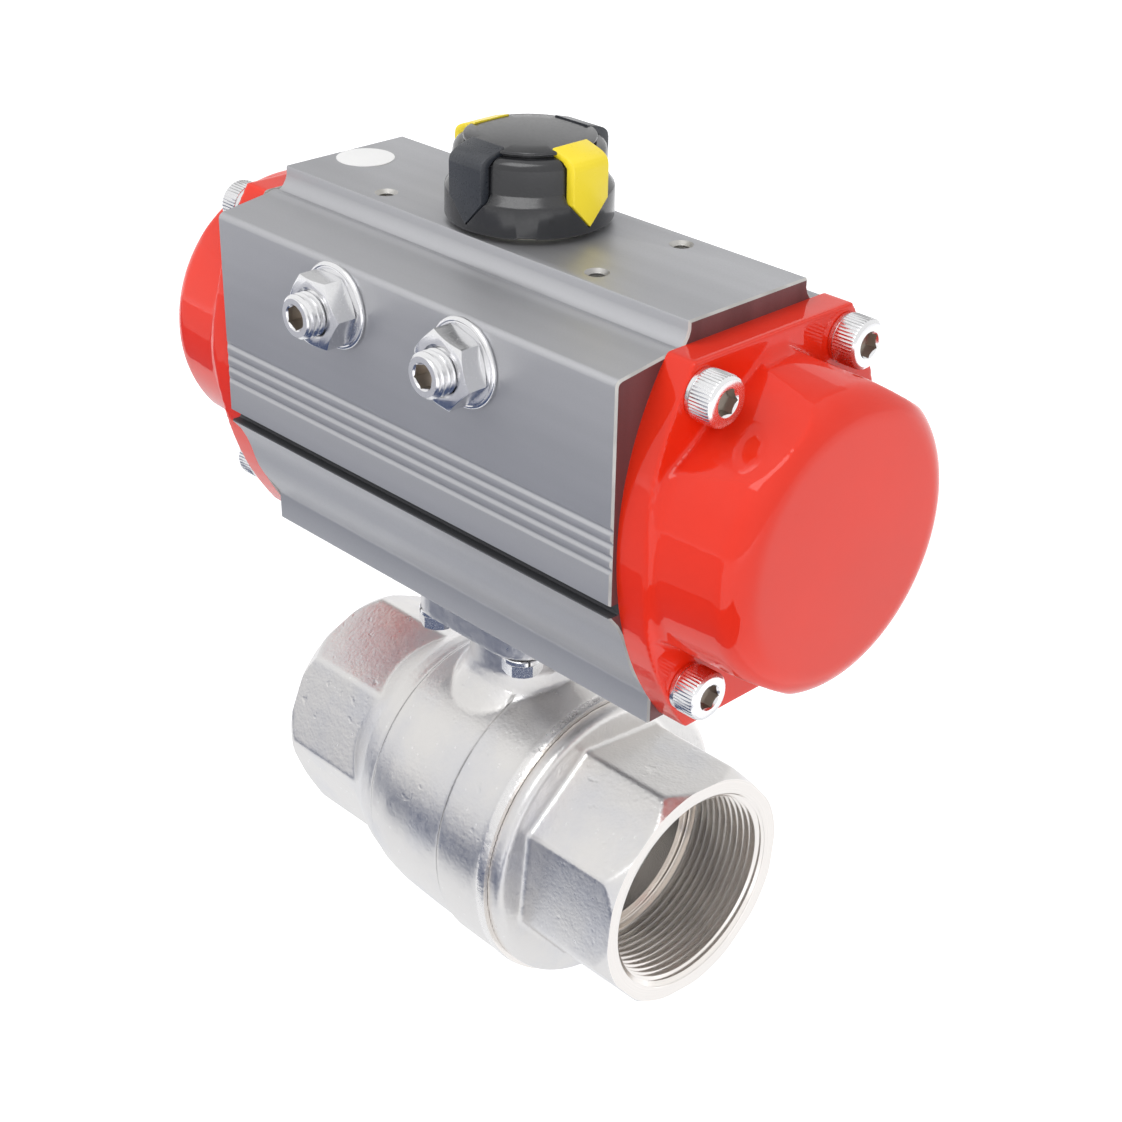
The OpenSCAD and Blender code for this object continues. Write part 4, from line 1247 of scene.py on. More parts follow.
@dataclass
class ActuatorBody:
    """The extruded body with its machined holes."""

    finishes: Finishes
    bore_r: float = 40.0
    plate_half: float = 21.1
    foot_half: float = 29.2
    port_y: float = 52.0
    port_face_l: float = 120.0
    port_face_half_h: float = 20.0
    port_face_edge: float = 0.8
    slot_low: float = 108.7
    slot_high: float = 112.2
    slot_depth: float = 3.4
    groove_low: float = 121.75
    groove_pitch: float = 3.5
    groove_half: float = 1.35
    groove_depth: float = 0.55
    saw_edge: float = 0.55
    shaft_hole_r: float = 13.5
    foot_hole_r: float = 17.5
    cam_room_r: float = 31.5
    cam_room_z: Flat = (152.0, 163.5)
    channel_r: float = 2.2
    channel_y: float = 33.0
    channel_z: float = 157.0
    stop_hole_r: float = 6.05
    cap_hole_r: float = 4.05
    cap_hole_l: float = 18.0
    tap_r: float = 2.1
    tap_l: float = 9.0
    top_pattern: Flat = (40.0, 15.0)
    port_pattern: Flat = (16.0, 12.0)
    port_x: float = 12.0
    port_core: float = 5.72
    port_crest: float = 6.55
    port_thread_pitch: float = 1.337
    bolt_hole_r: float = 3.05
    bolt_hole_l: float = 11.0

    def outline(self) -> list[Flat]:
        """The section without its slots, front wall at -Y.

        Returns:
            Corners as (y, z), all round.
        """
        foot = self.foot_half
        plate = self.plate_half
        low = LAYOUT.foot_z
        top = LAYOUT.top_z
        front = LAYOUT.front_y
        side = [
            (foot, low), (foot, low + 8.6), (foot + 1.1, low + 10.4), (foot + 3.1, low + 13.2),
            (foot + 5.3, low + 16.4), (foot + 7.1, low + 19.8), (foot + 8.3, low + 23.0),
            (foot + 9.3, low + 26.4), (foot + 10.7, low + 30.0), (foot + 12.6, low + 33.4),
            (front - 0.9, low + 35.7), (front, low + 36.7),
        ]
        crown = [
            (plate + 6.4, top - 6.2), (plate + 5.5, top - 5.85), (plate + 4.7, top - 5.7),
            (plate + 3.9, top - 5.85), (plate + 3.0, top - 6.1), (plate + 2.2, top - 5.85),
            (plate + 1.3, top - 5.0), (plate + 0.5, top - 3.8), (plate, top - 2.3), (plate, top),
        ]
        forward = side + [(front, top - 9.4), (front - 1.0, top - 8.4), (plate + 8.0, top - 6.5)] + crown
        back = side + [
            (front, LAYOUT.bore_z + 20.0), (front - 6.6, top - 22.0), (front - 13.0, top - 11.5),
            (front - 17.0, top - 6.6),
        ] + crown[1:]
        return back + [(-y, z) for y, z in reversed(forward)]

    def build(self) -> Piece:
        """Model, drill and dress the body.

        Returns:
            The settled piece.
        """
        half = LAYOUT.half_l
        body = bar_x("body", self.outline(), -half, half)
        give(body, self.finishes.anodised, self.finishes.end_shade_and_red_reflection, self.finishes.cut_edge)
        self.round_section(body)
        port = bar_x("port_face", self.port_outline(), -self.port_face_l / 2, self.port_face_l / 2)
        work(body, [port], self.finishes.anodised, Cut.ADDED)
        round_edges(body, self.at_sawn_end, self.saw_edge, 1, finish=2)
        # The slot's faces take the near-black painted shade.
        work(body, [self.slot()], self.finishes.slot)
        work(body, self.grooves(), self.finishes.anodised)
        work(body, self.round_cuts(), self.finishes.cut_edge)
        # The sawn end faces take the dark maroon painted shade and red reflection.
        with editing(body, "FACE"):
            pick_faces(body, lambda mid, normal: abs(abs(mid.x) - half) < 0.01)
            body.active_material_index = 1
            bpy.ops.object.material_slot_assign()
        return settle(body, "body_extrusion", "housing", "actuator_body")

    def round_section(self, body: Piece) -> None:
        """Round the section's corners along the bar: those of the crown, the foot and the walls.

        Args:
            body: the plain bar.
        """
        top = LAYOUT.top_z
        low = LAYOUT.foot_z
        for from_z, to_z, width, segments in (
            (top - 0.1, top + 0.1, 0.45, 2),
            (low - 0.1, low + 9.0, 0.55, 2),
            (low + 36.0, top - 8.0, 0.9, 3),
        ):
            between = lambda mid, way: along_x(mid, way) and from_z < mid.z < to_z
            round_edges(body, between, width, segments)

    def port_outline(self) -> list[Flat]:
        """The raised face at the back for the air connections.

        Returns:
            Corners as (y, z).
        """
        low = LAYOUT.bore_z - self.port_face_half_h
        high = LAYOUT.bore_z + self.port_face_half_h
        root = LAYOUT.front_y - 6.6
        face = self.port_y
        edge = self.port_face_edge
        return [
            (root, low), (face - edge, low), (face, low + edge),
            (face, high - edge), (face - edge, high), (root, high),
        ]

    def at_sawn_end(self, mid: Vector, way: Vector) -> bool:
        """Whether an edge lies on a sawn end."""
        return abs(abs(mid.x) - LAYOUT.half_l) < 0.01 and abs(way.x) < 0.01

    def slot(self) -> Piece:
        """The cutter for the long slot.

        Returns:
            The cutter.
        """
        end = LAYOUT.half_l + 1.0
        front = -LAYOUT.front_y
        deep = front + self.slot_depth
        low = self.slot_low
        high = self.slot_high
        outline = [
            (front - 1.0, low - 0.9), (front + 0.5, low + 0.1), (deep - 0.4, low + 0.1), (deep, low + 0.5),
            (deep, high - 0.5), (deep - 0.4, high - 0.1), (front + 0.4, high - 0.1),
            (front - 1.0, high + 0.6),
        ]
        return bar_x("slot", outline, -end, end)

    def grooves(self) -> list[Piece]:
        """Cutters for the four soft grooves.

        Returns:
            The cutters.
        """
        end = LAYOUT.half_l + 1.0
        tools = []
        for i in range(4):
            outline = self.groove_outline(-LAYOUT.front_y, self.groove_low + i * self.groove_pitch)
            tools.append(bar_x("groove", outline, -end, end))
        return tools

    def groove_outline(self, front: float, middle: float) -> list[Flat]:
        """The section of one soft groove.

        Args:
            front: the Y of the front wall.
            middle: the height of the groove's middle.

        Returns:
            Corners as (y, z).
        """
        half = self.groove_half
        points = [(front - 1.0, middle - half)]
        for i in range(11):
            share = i / 5 - 1
            depth = self.groove_depth * (1 + math.cos(math.pi * share)) / 2 - 0.02
            points.append((front + depth, middle + half * share))
        return [*points, (front - 1.0, middle + half)]

    def round_cuts(self) -> list[Piece]:
        """Cutters for the bore and every drilled hole.

        Returns:
            The cutters.
        """
        bore_z = LAYOUT.bore_z
        end = LAYOUT.half_l + 1.0
        tools = [
            place(rod(self.bore_r, -end, end, steps=128), (0, 0, bore_z), Way.RIGHT),
            place(rod(self.shaft_hole_r, bore_z, LAYOUT.top_z + 0.6, rim=0.8)),
            place(rod(self.foot_hole_r, LAYOUT.foot_z - 1, bore_z)),
            place(rod(self.cam_room_r, *self.cam_room_z, steps=96)),
            place(rod(self.channel_r, -end, end, steps=24), (0, self.channel_y, self.channel_z), Way.RIGHT),
        ]
        for side in BOTH:
            tools += self.side_cuts(side)
        inlet = rod(3.0, 0.0, 16.0, steps=24)
        tools.append(place(inlet, (-self.port_x, self.channel_y + 1.0, bore_z), Way.BACK))
        return tools

    def side_cuts(self, side: int) -> list[Piece]:
        """Cutters for the holes of one half: stop, cap screws, top, foot and port.

        Args:
            side: 1 for the right half, -1 for the left.

        Returns:
            The cutters.
        """
        half = LAYOUT.half_l
        stop = rod(self.stop_hole_r, 8.0, LAYOUT.front_y + 1.0, rim=1.0)
        tools = [place(stop, (side * LAYOUT.stop_x, 0, LAYOUT.stop_z), Way.FRONT)]
        way = Way.RIGHT if side > 0 else Way.LEFT
        for y in BOTH:
            for z in BOTH:
                hole = rod(self.cap_hole_r, half - self.cap_hole_l, half + 0.5, rim=0.6, steps=32)
                at = (0, y * LAYOUT.cap_screw_y, LAYOUT.bore_z + z * LAYOUT.cap_screw_z)
                tools.append(place(hole, at, way))
        for y in BOTH:
            at = (side * self.top_pattern[0], y * self.top_pattern[1], LAYOUT.top_z)
            tools.append(place(self.tapped(self.tap_r, 0.45, self.tap_l), at))
        for y in BOTH:
            hole = rod(self.bolt_hole_r, 0.0, self.bolt_hole_l, steps=32)
            at = (side * LAYOUT.bolt_place, y * LAYOUT.bolt_place, LAYOUT.foot_z + self.bolt_hole_l - 0.5)
            tools.append(place(hole, at, Way.DOWN))
        for z in BOTH:
            at = (side * self.port_pattern[0], self.port_y, LAYOUT.bore_z + z * self.port_pattern[1])
            tools.append(place(self.tapped(self.tap_r, 0.45, self.tap_l), at, Way.BACK))
        port = thread(self.port_core, self.port_crest, self.port_thread_pitch, -8.0, 0.2)
        collar = rod(self.port_core + 0.08, -1.0, 0.4, rim=1.2)
        at = (side * self.port_x, self.port_y, LAYOUT.bore_z)
        return tools + [place(tool, at, Way.BACK) for tool in (port, collar)]

    def tapped(self, radius: float, step: float, depth: float) -> Piece:
        """A small tapped hole's cutter, with its countersink.

        Args:
            radius: the radius of its core.
            step: the depth of its thread.
            depth: how deep it goes.

        Returns:
            The cutter, its mouth at the origin.
        """
        profile = [(0.0, -depth - 1.0), (radius, -depth)]
        height = -depth
        while height < -1.4:
            profile += [(radius, height + 0.25), (radius + step, height + 0.45), (radius, height + 0.65)]
            height += 0.8
        profile += [(radius, -1.0), (radius + 1.1, 0.02), (radius + 1.1, 0.6), (0.0, 0.6)]
        return turned("tap", profile, 32)


@dataclass
class EndCaps:
    """The two painted die-cast caps with their four screws each."""

    finishes: Finishes
    flange_t: float = 8.8
    cap_l: float = 35.5
    width: float = 85.6
    side_r: float = 85.2
    top: float = 47.6
    bottom: float = 52.4
    dome_r: float = 41.6
    dome_end_r: float = 40.3
    dome_edge: float = 8.0
    root: float = 3.6
    flat_r: float = 38.3
    chamber_r: float = 35.5
    wall: float = 4.0
    ring_r: Flat = (40.45, 42.35)
    ring_depth: float = 1.85
    hole_r: float = 4.3
    peg_r: float = 4.2
    springs: int = 6
    knurls: int = 48
    head_r: float = 6.5
    socket: float = 6.0

    @property
    def front(self) -> float:
        """Where the flange's outer face is, along X."""
        return LAYOUT.half_l + self.flange_t

    def flange_outline(self, inset: float = 0.0) -> list[Flat]:
        """The flange's outline with bowed sides, seen along X.

        Args:
            inset: how far inside the outline.

        Returns:
            Corners as (y, z) about the bore axis.
        """
        bow = self.side_r - self.width / 2
        radius = self.side_r - inset
        top = self.top - inset
        bottom = -self.bottom + inset
        points = []
        for i in range(25):
            z = bottom + (top - bottom) * i / 24
            points.append((math.sqrt(radius * radius - z * z) - bow, z))
        return points + [(-y, z) for y, z in reversed(points)]

    def dome(self) -> Piece:
        """The round dome with a wide fillet at its root.

        Returns:
            The solid, about the bore axis at the origin, along +X.
        """
        foot_r = self.dome_r + self.root
        end = LAYOUT.half_l + self.cap_l
        fillet = arc((foot_r, self.front + self.root), self.root, 270.0, 180.0, 6)
        edge = arc((self.dome_end_r - self.dome_edge, end - self.dome_edge), self.dome_edge, 0.0, 90.0, 8)
        profile = [(0.0, self.front - 4.0), (foot_r, self.front - 4.0), *fillet, *edge, (0.0, end)]
        return place(turned("dome", profile, 128), way=Way.RIGHT)

    def shell(self) -> Piece:
        """Model the right cap as a casting, then machine it.

        Returns:
            The cap about the bore axis at the origin.
        """
        half = LAYOUT.half_l
        flange = bar_x("flange", self.flange_outline(), half - 3.0, self.front)
        dome = self.dome()
        trim = bar_x("trim", self.flange_outline(0.15), half - 5.0, half + 50.0)
        work(dome, [trim], how=Cut.SHARED)
        diagonal = math.degrees(math.atan2(LAYOUT.cap_screw_z, LAYOUT.cap_screw_y))
        cheeks = []
        for angle in (diagonal, 180.0 - diagonal, 180.0 + diagonal, -diagonal):
            block = prism("cheek", rectangle(self.flat_r, 70, -20, 20), self.front, self.front + 40)
            cheeks.append(place(block, way=Way.RIGHT, turn=270.0 + angle))
        work(dome, cheeks)
        cap = join([flange, dome], "cap")
        cast(cap, 0.6, 6, 0.7, 0.0)
        apply(cap, "SMOOTH", factor=0.5, iterations=2)
        give(cap, self.finishes.red, self.finishes.machined)
        return work(cap, self.machining(), self.finishes.machined)

    def machining(self) -> list[Piece]:
        """Cutters for the joint face, spring chamber, ring groove, screw holes and spring pegs.

        Returns:
            The cutters.
        """
        half = LAYOUT.half_l
        end = half + self.cap_l - self.wall
        low = half - 8.0
        r = self.chamber_r
        chamber = [
            (0, low - 1), (r + 0.6, low - 1), (r + 0.6, half), (r, half + 0.6), (r, end - 3),
            (r - 0.9, end - 0.9), (r - 3, end), (0, end),
        ]
        groove = rectangle(*self.ring_r, low - 1, half + self.ring_depth)
        tools = [
            bar_x("plane", rectangle(-60, 60, -60, 60), low, half),
            place(turned("chamber", chamber, 96), way=Way.RIGHT),
            place(turned("groove", groove, 96, closed=True), way=Way.RIGHT),
        ]
        for y in BOTH:
            for z in BOTH:
                hole = rod(self.hole_r, low, self.front + 3, steps=40)
                tools.append(place(hole, (0, y * LAYOUT.cap_screw_y, z * LAYOUT.cap_screw_z), Way.RIGHT))
        for y, z in polygon(self.springs, LAYOUT.spring_circle):
            peg = turned("peg", rectangle(0, self.peg_r, end - 0.05, end + 0.02), 24)
            tools.append(place(peg, (0, y, z), Way.RIGHT))
        return tools

    def screw(self) -> Piece:
        """Model one socket-head screw with a knurled head, along +Z from its seat.

        Returns:
            The screw.
        """
        r = self.head_r
        profile = [
            (0, -12.0), (3.4, -12.0), (4.0, -11.2), (4.0, 0.0), (r - 0.5, 0.0), (r - 0.2, 0.25),
            (r - 0.2, 1.15), (r - 0.45, 1.25), (r - 0.45, 1.45), (r, 1.6), (r, 6.9), (r - 0.25, 7.4),
            (r - 0.8, 7.85), (r - 1.1, 8.0), (0, 8.0),
        ]
        head = turned("screw", profile, 2 * self.knurls)
        give(head, self.finishes.steel, self.finishes.socket)
        step = math.pi / self.knurls
        with editing(head):
            pick_points(
                head,
                lambda p: 1.55 < p.z < 7.0
                and p.xy.length > r - 0.1
                and round(math.atan2(p.y, p.x) / step) % 2 == 0,
            )
            bpy.ops.transform.resize(value=(0.968, 0.968, 1.0), center_override=(0, 0, 0))
        socket = prism("socket", hexagon(self.socket), 4.9, 9.0)
        dip = turned("dip", [(0, 4.0), (3.0, 5.1), (3.0, 5.4), (0, 5.4)], 24)
        mouth = turned("mouth", [(0, 7.5), (3.05, 7.5), (3.75, 8.2), (0, 8.2)], 36)
        work(head, [socket, dip], self.finishes.socket)
        return work(head, [mouth], self.finishes.steel)

    def build(self) -> list[Piece]:
        """Build both caps and all eight screws.

        Returns:
            The settled pieces.
        """
        pieces = []
        shell = self.shell()
        screw = self.screw()
        for side, word, way in SIDES:
            cap = place(copy_of(shell), (0, 0, LAYOUT.bore_z), turn=0.0 if side > 0 else 180.0)
            pieces.append(settle(cap, f"cap_{word}", "housing", f"end_cap_{word}", 40.0))
            screws = []
            for i, (y, z) in enumerate(((-1, -1), (1, -1), (1, 1), (-1, 1))):
                height = LAYOUT.bore_z + z * LAYOUT.cap_screw_z
                seat = (side * self.front, y * LAYOUT.cap_screw_y, height)
                screws.append(place(copy_of(screw), seat, way, 17.0 + 23.0 * i))
            joined = join(screws, "screws")
            name = f"socket_screws_{word}"
            pieces.append(settle(joined, name, "housing", f"cap_screws_{word}", 28.0))
        bpy.data.objects.remove(shell)
        bpy.data.objects.remove(screw)
        return pieces


@dataclass
class TravelStops:
    """The two stop screws with their lock nuts and washers."""

    finishes: Finishes
    reach: float = 58.3
    tip: float = 8.3
    core_r: float = 5.1
    crest_r: float = 5.98
    pitch: float = 1.75
    dog_r: float = 4.0
    socket: float = 6.0
    socket_l: float = 4.5
    washer_t: float = 1.4
    nut_t: float = 7.0
    across: float = 18.0

    def screw(self) -> Piece:
        """Model one stop screw along +Z, its outer end up.

        Returns:
            The screw.
        """
        end = self.reach
        tip = self.tip
        screw = give(thread(self.core_r, self.crest_r, self.pitch, 26.0, end), self.finishes.steel)
        envelope = [(0, 25.0), (4.6, 25.0), (6.1, 27.0), (6.1, end - 1.0), (5.1, end), (4.3, end), (0, end)]
        work(screw, [turned("envelope", envelope, 72)], self.finishes.steel, Cut.SHARED)
        dog = [(0, tip), (self.dog_r - 0.6, tip), (self.dog_r, tip + 0.6), (self.dog_r, 27.0), (0, 27.0)]
        work(screw, [turned("dog", dog, 48)], self.finishes.steel, Cut.ADDED)
        socket = prism("socket", hexagon(self.socket, 12.0), end - self.socket_l, end + 1)
        work(screw, [socket], self.finishes.socket)
        mouth = turned("mouth", [(0, end - 0.4), (3.2, end - 0.4), (3.9, end + 0.3), (0, end + 0.3)], 36)
        return work(screw, [mouth], self.finishes.steel)

    def nut(self) -> Piece:
        """Model one hex nut on +Z with turned crowns.

        Returns:
            The nut.
        """
        half = self.across / 2
        high = self.nut_t
        nut = give(prism("nut", hexagon(self.across), 0.0, high), self.finishes.steel)
        crown = [
            (0, 0), (half - 0.2, 0), (half + 1.8, 1.05), (half + 1.8, high - 1.05), (half - 0.2, high),
            (0, high),
        ]
        work(nut, [turned("crown", crown, 96)], self.finishes.steel, Cut.SHARED)
        hole = [(0, -1), (7.4, -1), (6.05, 0.7), (6.05, high - 0.7), (7.4, high + 0.6), (0, high + 0.6)]
        work(nut, [turned("hole", hole, 48)], self.finishes.steel)
        round_edges(nut, lambda mid, way: upright(mid, way) and mid.xy.length > half, 0.25)
        return nut

    def washer(self) -> Piece:
        """Model one wide washer on +Z with a rounded rim.

        Returns:
            The washer.
        """
        t = self.washer_t
        profile = [
            (7.25, 0.0), (11.4, 0.0), (11.75, 0.3), (11.8, 0.7), (11.65, 1.05), (11.3, t - 0.08),
            (10.9, t), (10.6, t - 0.12), (10.3, t - 0.02), (7.6, t), (7.25, t - 0.3),
        ]
        return give(turned("washer", profile, 72, closed=True), self.finishes.steel)

    def build(self) -> list[Piece]:
        """Build both stops.

        Returns:
            The settled pieces.
        """
        pieces = []
        nuts = []
        washers = []
        screw = self.screw()
        nut = self.nut()
        washer = self.washer()
        for side, word, turn in ((1, "right", 45.0), (-1, "left", 0.0)):
            x = side * LAYOUT.stop_x
            z = LAYOUT.stop_z
            front = -LAYOUT.front_y
            own = place(copy_of(screw), (x, 0, z), Way.FRONT, turn + 20.0)
            name = f"stop_screw_{word}_threaded"
            pieces.append(settle(own, name, f"{word}_stop", f"stop_screw_{word}"))
            nuts.append(place(copy_of(nut), (x, front - self.washer_t, z), Way.FRONT, turn))
            washers.append(place(copy_of(washer), (x, front, z), Way.FRONT))
        for piece in (screw, nut, washer):
            bpy.data.objects.remove(piece)
        for own, name, node in ((nuts, "lock_nuts", "stop_nuts"), (washers, "wide_washers", "stop_washers")):
            pieces.append(settle(join(own, name), name, "housing", node))
        return pieces


@dataclass
class Indicator:
    """The position indicator on the shaft end."""

    finishes: Finishes
    base_r: float = 22.1
    drum_r: float = 20.0
    height: float = 23.2
    seat_h: float = 15.0
    low: float = 1.5
    pointer_half: float = 6.0
    pointer_x: float = 22.5
    pointer_in: float = 19.6
    top_in: float = 14.5
    clearance: float = 4.0

    def pointer(self, gap: float, lift: float = 0.0) -> Piece:
        """Model one bent arrow on the +X side, or the space that it needs.

        Args:
            gap: how far its faces stand out.
            lift: how far its upper faces are raised.

        Returns:
            The solid.
        """
        half = self.pointer_half + gap
        top = self.height + 0.2
        outer = self.pointer_x + gap
        inner = self.pointer_in - gap
        side = [
            (self.top_in - gap, top - 2.3 - gap), (inner - 1.6, top - 3.1 - gap), (inner, top - 4.4 - gap),
            (inner, 2.0), (outer, 2.0), (outer, top - 4.8), (outer - 0.25, top - 3.7 + lift),
            (outer - 0.9, top - 2.8 + lift), (outer - 1.9, top - 2.15 + lift),
            (outer - 3.2, top - 1.6 + lift), (self.top_in - gap, top - 0.3 + lift),
        ]
        piece = trace("pointer", [(x, -half, z) for x, z in side])
        with editing(piece, "FACE"):
            bpy.ops.mesh.select_all(action="SELECT")
            bpy.ops.mesh.extrude_region_move(TRANSFORM_OT_translate={"value": (0, 2 * half, 0)})
        face_out(piece)
        arrow = [(-half, top + 6), (-half, 9.9), (0, 3.4 - 1.5 * gap), (half, 9.9), (half, top + 6)]
        return work(piece, [bar_x("arrow", arrow, 0.0, self.pointer_x + 5)], how=Cut.SHARED)

    def pointer_pair(self, angles: Sequence[float], finish: Finished) -> Piece:
        """Round one pointer's edges and copy it.

        Args:
            angles: where the two stand, in degrees.
            finish: their material.

        Returns:
            The joined pair.
        """
        one = give(self.pointer(0.0), finish)
        round_edges(one, lambda mid, way: mid.x > self.top_in + 0.1, 0.28)
        pair = [place(copy_of(one), (0, 0, LAYOUT.top_z), turn=angle) for angle in angles]
        bpy.data.objects.remove(one)
        return join(pair, "pointers")

    def pocketed(self, ring: Piece, gap: float, notch: Sequence[Flat], low: float, high: float) -> Piece:
        """Cut the pockets for the pointers and four small notches, and put the piece in its place.

        Args:
            ring: the piece about the shaft, on the top face.
            gap: the room round a pointer.
            notch: a notch's corners as (x, y).
            low: a notch's lower end.
            high: a notch's upper end.

        Returns:
            The same piece.
        """
        tools = [place(self.pointer(gap, self.clearance), turn=turn) for turn in QUARTERS]
        tools += [place(prism("notch", notch, low, high), turn=45.0 + turn) for turn in QUARTERS]
        work(ring, tools, self.finishes.black)
        return place(ring, (0, 0, LAYOUT.top_z))

    def housing(self) -> Piece:
        """Model the cup.

        Returns:
            The cup at its place.
        """
        base = self.base_r
        drum = self.drum_r
        top = self.height - 2.2
        seat = self.seat_h
        profile = [
            (3.2, seat), (drum - 3.5, seat), (drum - 3.5, self.low), (base - 0.6, self.low),
            (base - 0.15, self.low + 0.2), (base, self.low + 0.6), (base - 0.1, 9.3), (base - 0.25, 9.8),
            (base - 0.7, 10.2), (drum + 0.55, 11.7), (drum + 0.2, 12.0), (drum + 0.04, 12.5),
            (drum - 0.15, top - 2.6), (drum - 0.35, top - 1.5), (drum - 0.95, top - 0.6),
            (drum - 1.8, top - 0.1), (drum - 2.6, top), (15.7, top), (15.7, seat + 2.5), (3.2, seat + 2.5),
        ]
        cup = give(turned("cup", profile, 128, closed=True), self.finishes.black)
        return self.pocketed(cup, 0.3, rectangle(base - 1.4, base + 2, -2.5, 2.5), 0, 2.3)

    def cap(self) -> Piece:
        """Model the slightly domed plate on top.

        Returns:
            The plate at its place.
        """
        h = self.height
        profile = [
            (0, h - 2.1), (13.6, h - 2.1), (13.6, 17.6), (15.6, 17.6), (15.6, h - 2.1), (16.2, h - 2.1),
            (16.2, h - 1.5), (17.0, h - 1.5), (17.2, h - 1.3), (17.2, h - 0.95), (17.05, h - 0.7),
            (16.7, h - 0.58), (12.0, h - 0.3), (6.0, h - 0.08), (0, h),
        ]
        plate = give(turned("plate", profile, 128), self.finishes.black)
        return self.pocketed(plate, 0.05, rectangle(16.3, 20, -1.4, 1.4), h - 2.5, h - 0.85)

    def build(self) -> list[Piece]:
        """Build the whole indicator.

        Returns:
            The settled pieces.
        """
        yellow = self.pointer_pair((0.0, 180.0), self.finishes.yellow)
        slate = self.pointer_pair((90.0, 270.0), self.finishes.slate)
        return [
            settle(self.housing(), "indicator_cup", "shaft", "indicator_housing"),
            settle(self.cap(), "indicator_plate", "shaft", "indicator_cap"),
            settle(yellow, "yellow_arrows", "shaft", "yellow_pointers"),
            settle(slate, "black_arrows", "shaft", "black_pointers"),
        ]


# Valve


@dataclass
class Valve:
    """The cast body, the screwed-in end and the bolts under the pad."""

    finishes: Finishes
    end_x: float = 70.0
    octagon_r: float = 36.8
    octagon_l: float = 33.6
    octagon_turn: float = 16.7
    chamfer: float = 4.0
    joint_x: float = 31.6
    disc_t: float = 4.8
    disc_r: float = 43.6
    neck_r: float = 16.0
    neck_root_z: float = 36.0
    flare: float = 7.6
    pad_t: float = 10.0
    pad_w: float = 49.0
    pad_corner: float = 11.0
    thread_r: float = 28.3
    thread_major: float = 29.7
    thread_pitch: float = 2.309
    socket_x: float = 41.3
    seat_x: float = 35.0
    seat_r: float = 32.35
    room_r: float = 38.8
    bolt_across: float = 10.0
    washer_t: float = 1.6
    stem_bores: tuple[Point, ...] = (
        (12.0, 25.0, 46.0), (9.1, 25.0, 75.0), (13.0, 51.0, 75.0), (14.5, 63.2, 75.0), (17.5, 69.0, 75.0),
    )
    barrel: list[Flat] = field(
        default_factory=lambda: [
            (0, -41.5), (33.4, -41.5), (34.0, -39.8), (35.6, -37.0), (36.9, -34.4), (37.9, -32.4),
            (39.3, -29.4), (40.5, -24.8), (40.75, -22.5), (41.6, -21.9), (42.9, -14.0), (43.6, 0.0),
            (43.85, 10.6), (44.6, 11.1), (44.8, 19.0), (44.85, 27.6), (45.15, 28.8), (45.2, 30.2),
            (45.0, 31.3), (44.7, 32.2), (0, 32.2),
        ]
    )

    def octagon(self, low: float, turn: float) -> Piece:
        """An octagon with its end turned to a cone, along +X.

        Args:
            low: where it starts.
            turn: its turn about the pipe in degrees.

        Returns:
            The solid.
        """
        r = self.octagon_r
        end = self.end_x
        bar = bar_x("octagon", polygon(8, r, turn), low, end + 3)
        round_edges(bar, along_x, 0.7, 3)
        end_r = r * math.cos(math.radians(22.5)) + 0.4
        cone = [
            (0, low - 1), (r + 1, low - 1), (r + 1, end - self.chamfer), (r, end - self.chamfer),
            (end_r, end), (end_r - 1.0, end + 2.5), (0, end + 2.5),
        ]
        return work(bar, [place(turned("cone", cone, 128), way=Way.RIGHT)], how=Cut.SHARED)

    def pad(self) -> Piece:
        """The square mounting pad with round corners.

        Returns:
            The solid.
        """
        inner = self.pad_w / 2 - self.pad_corner
        outline = []
        for turn, (x, y) in zip(QUARTERS, ((1, 1), (-1, 1), (-1, -1), (1, -1))):
            outline += arc((x * inner, y * inner), self.pad_corner, turn, turn + 90.0, 6)
        return prism("pad", outline, LAYOUT.foot_z - self.pad_t, LAYOUT.foot_z + 2)

    def neck(self) -> Piece:
        """The neck with its wide root.

        Returns:
            The solid.
        """
        low = self.neck_root_z
        top = LAYOUT.foot_z - 8
        r = self.neck_r
        foot = r + self.flare
        profile = [
            (0, 20), (foot, 20), (foot, low), (foot - 3.4, low + 4.6), (r + 1.2, low + 9.0),
            (r, low + 12.5), (r, top), (0, top),
        ]
        return turned("neck", profile, 96)

    def end_cutters(self, way: Way) -> list[Piece]:
        """The cutters that face one pipe end flat and bore its socket and the seat's room.

        Args:
            way: the side of the end.

        Returns:
            The cutters.
        """
        end = self.end_x
        bore = [
            (0, 20), (self.seat_r, 20), (self.seat_r, self.seat_x), (25.0, self.seat_x),
            (25.0, self.socket_x), (30.15, self.socket_x), (30.15, end - 0.15), (30.4, end),
            (30.4, end + 1), (0, end + 1),
        ]
        facing = turned("facing", rectangle(0, 60, end, end + 8), 48)
        return [place(tool, way=way) for tool in (facing, turned("socket", bore, 128))]

    def threaded_liner(self, way: Way) -> Piece:
        """The ring with the pipe thread, which fills one bored socket.

        Args:
            way: the side of the end.

        Returns:
            The ring.
        """
        start = self.socket_x
        end = self.end_x
        finish = self.finishes.machined
        profile = [
            (26.0, start + 0.02), (30.3, start + 0.02), (30.3, end - 0.1), (30.0, end - 0.1),
            (26.0, end - 0.1),
        ]
        ring = give(turned("liner", profile, 128, closed=True), finish)
        tap = thread(self.thread_r, self.thread_major, self.thread_pitch, start - 2, end + 1, 96)
        mouth = [(0, end - 1.9), (28.35, end - 1.9), (30.32, end - 0.09), (30.32, end + 1), (0, end + 1)]
        work(ring, [tap, turned("mouth", mouth, 128)], finish)
        return place(ring, way=way)

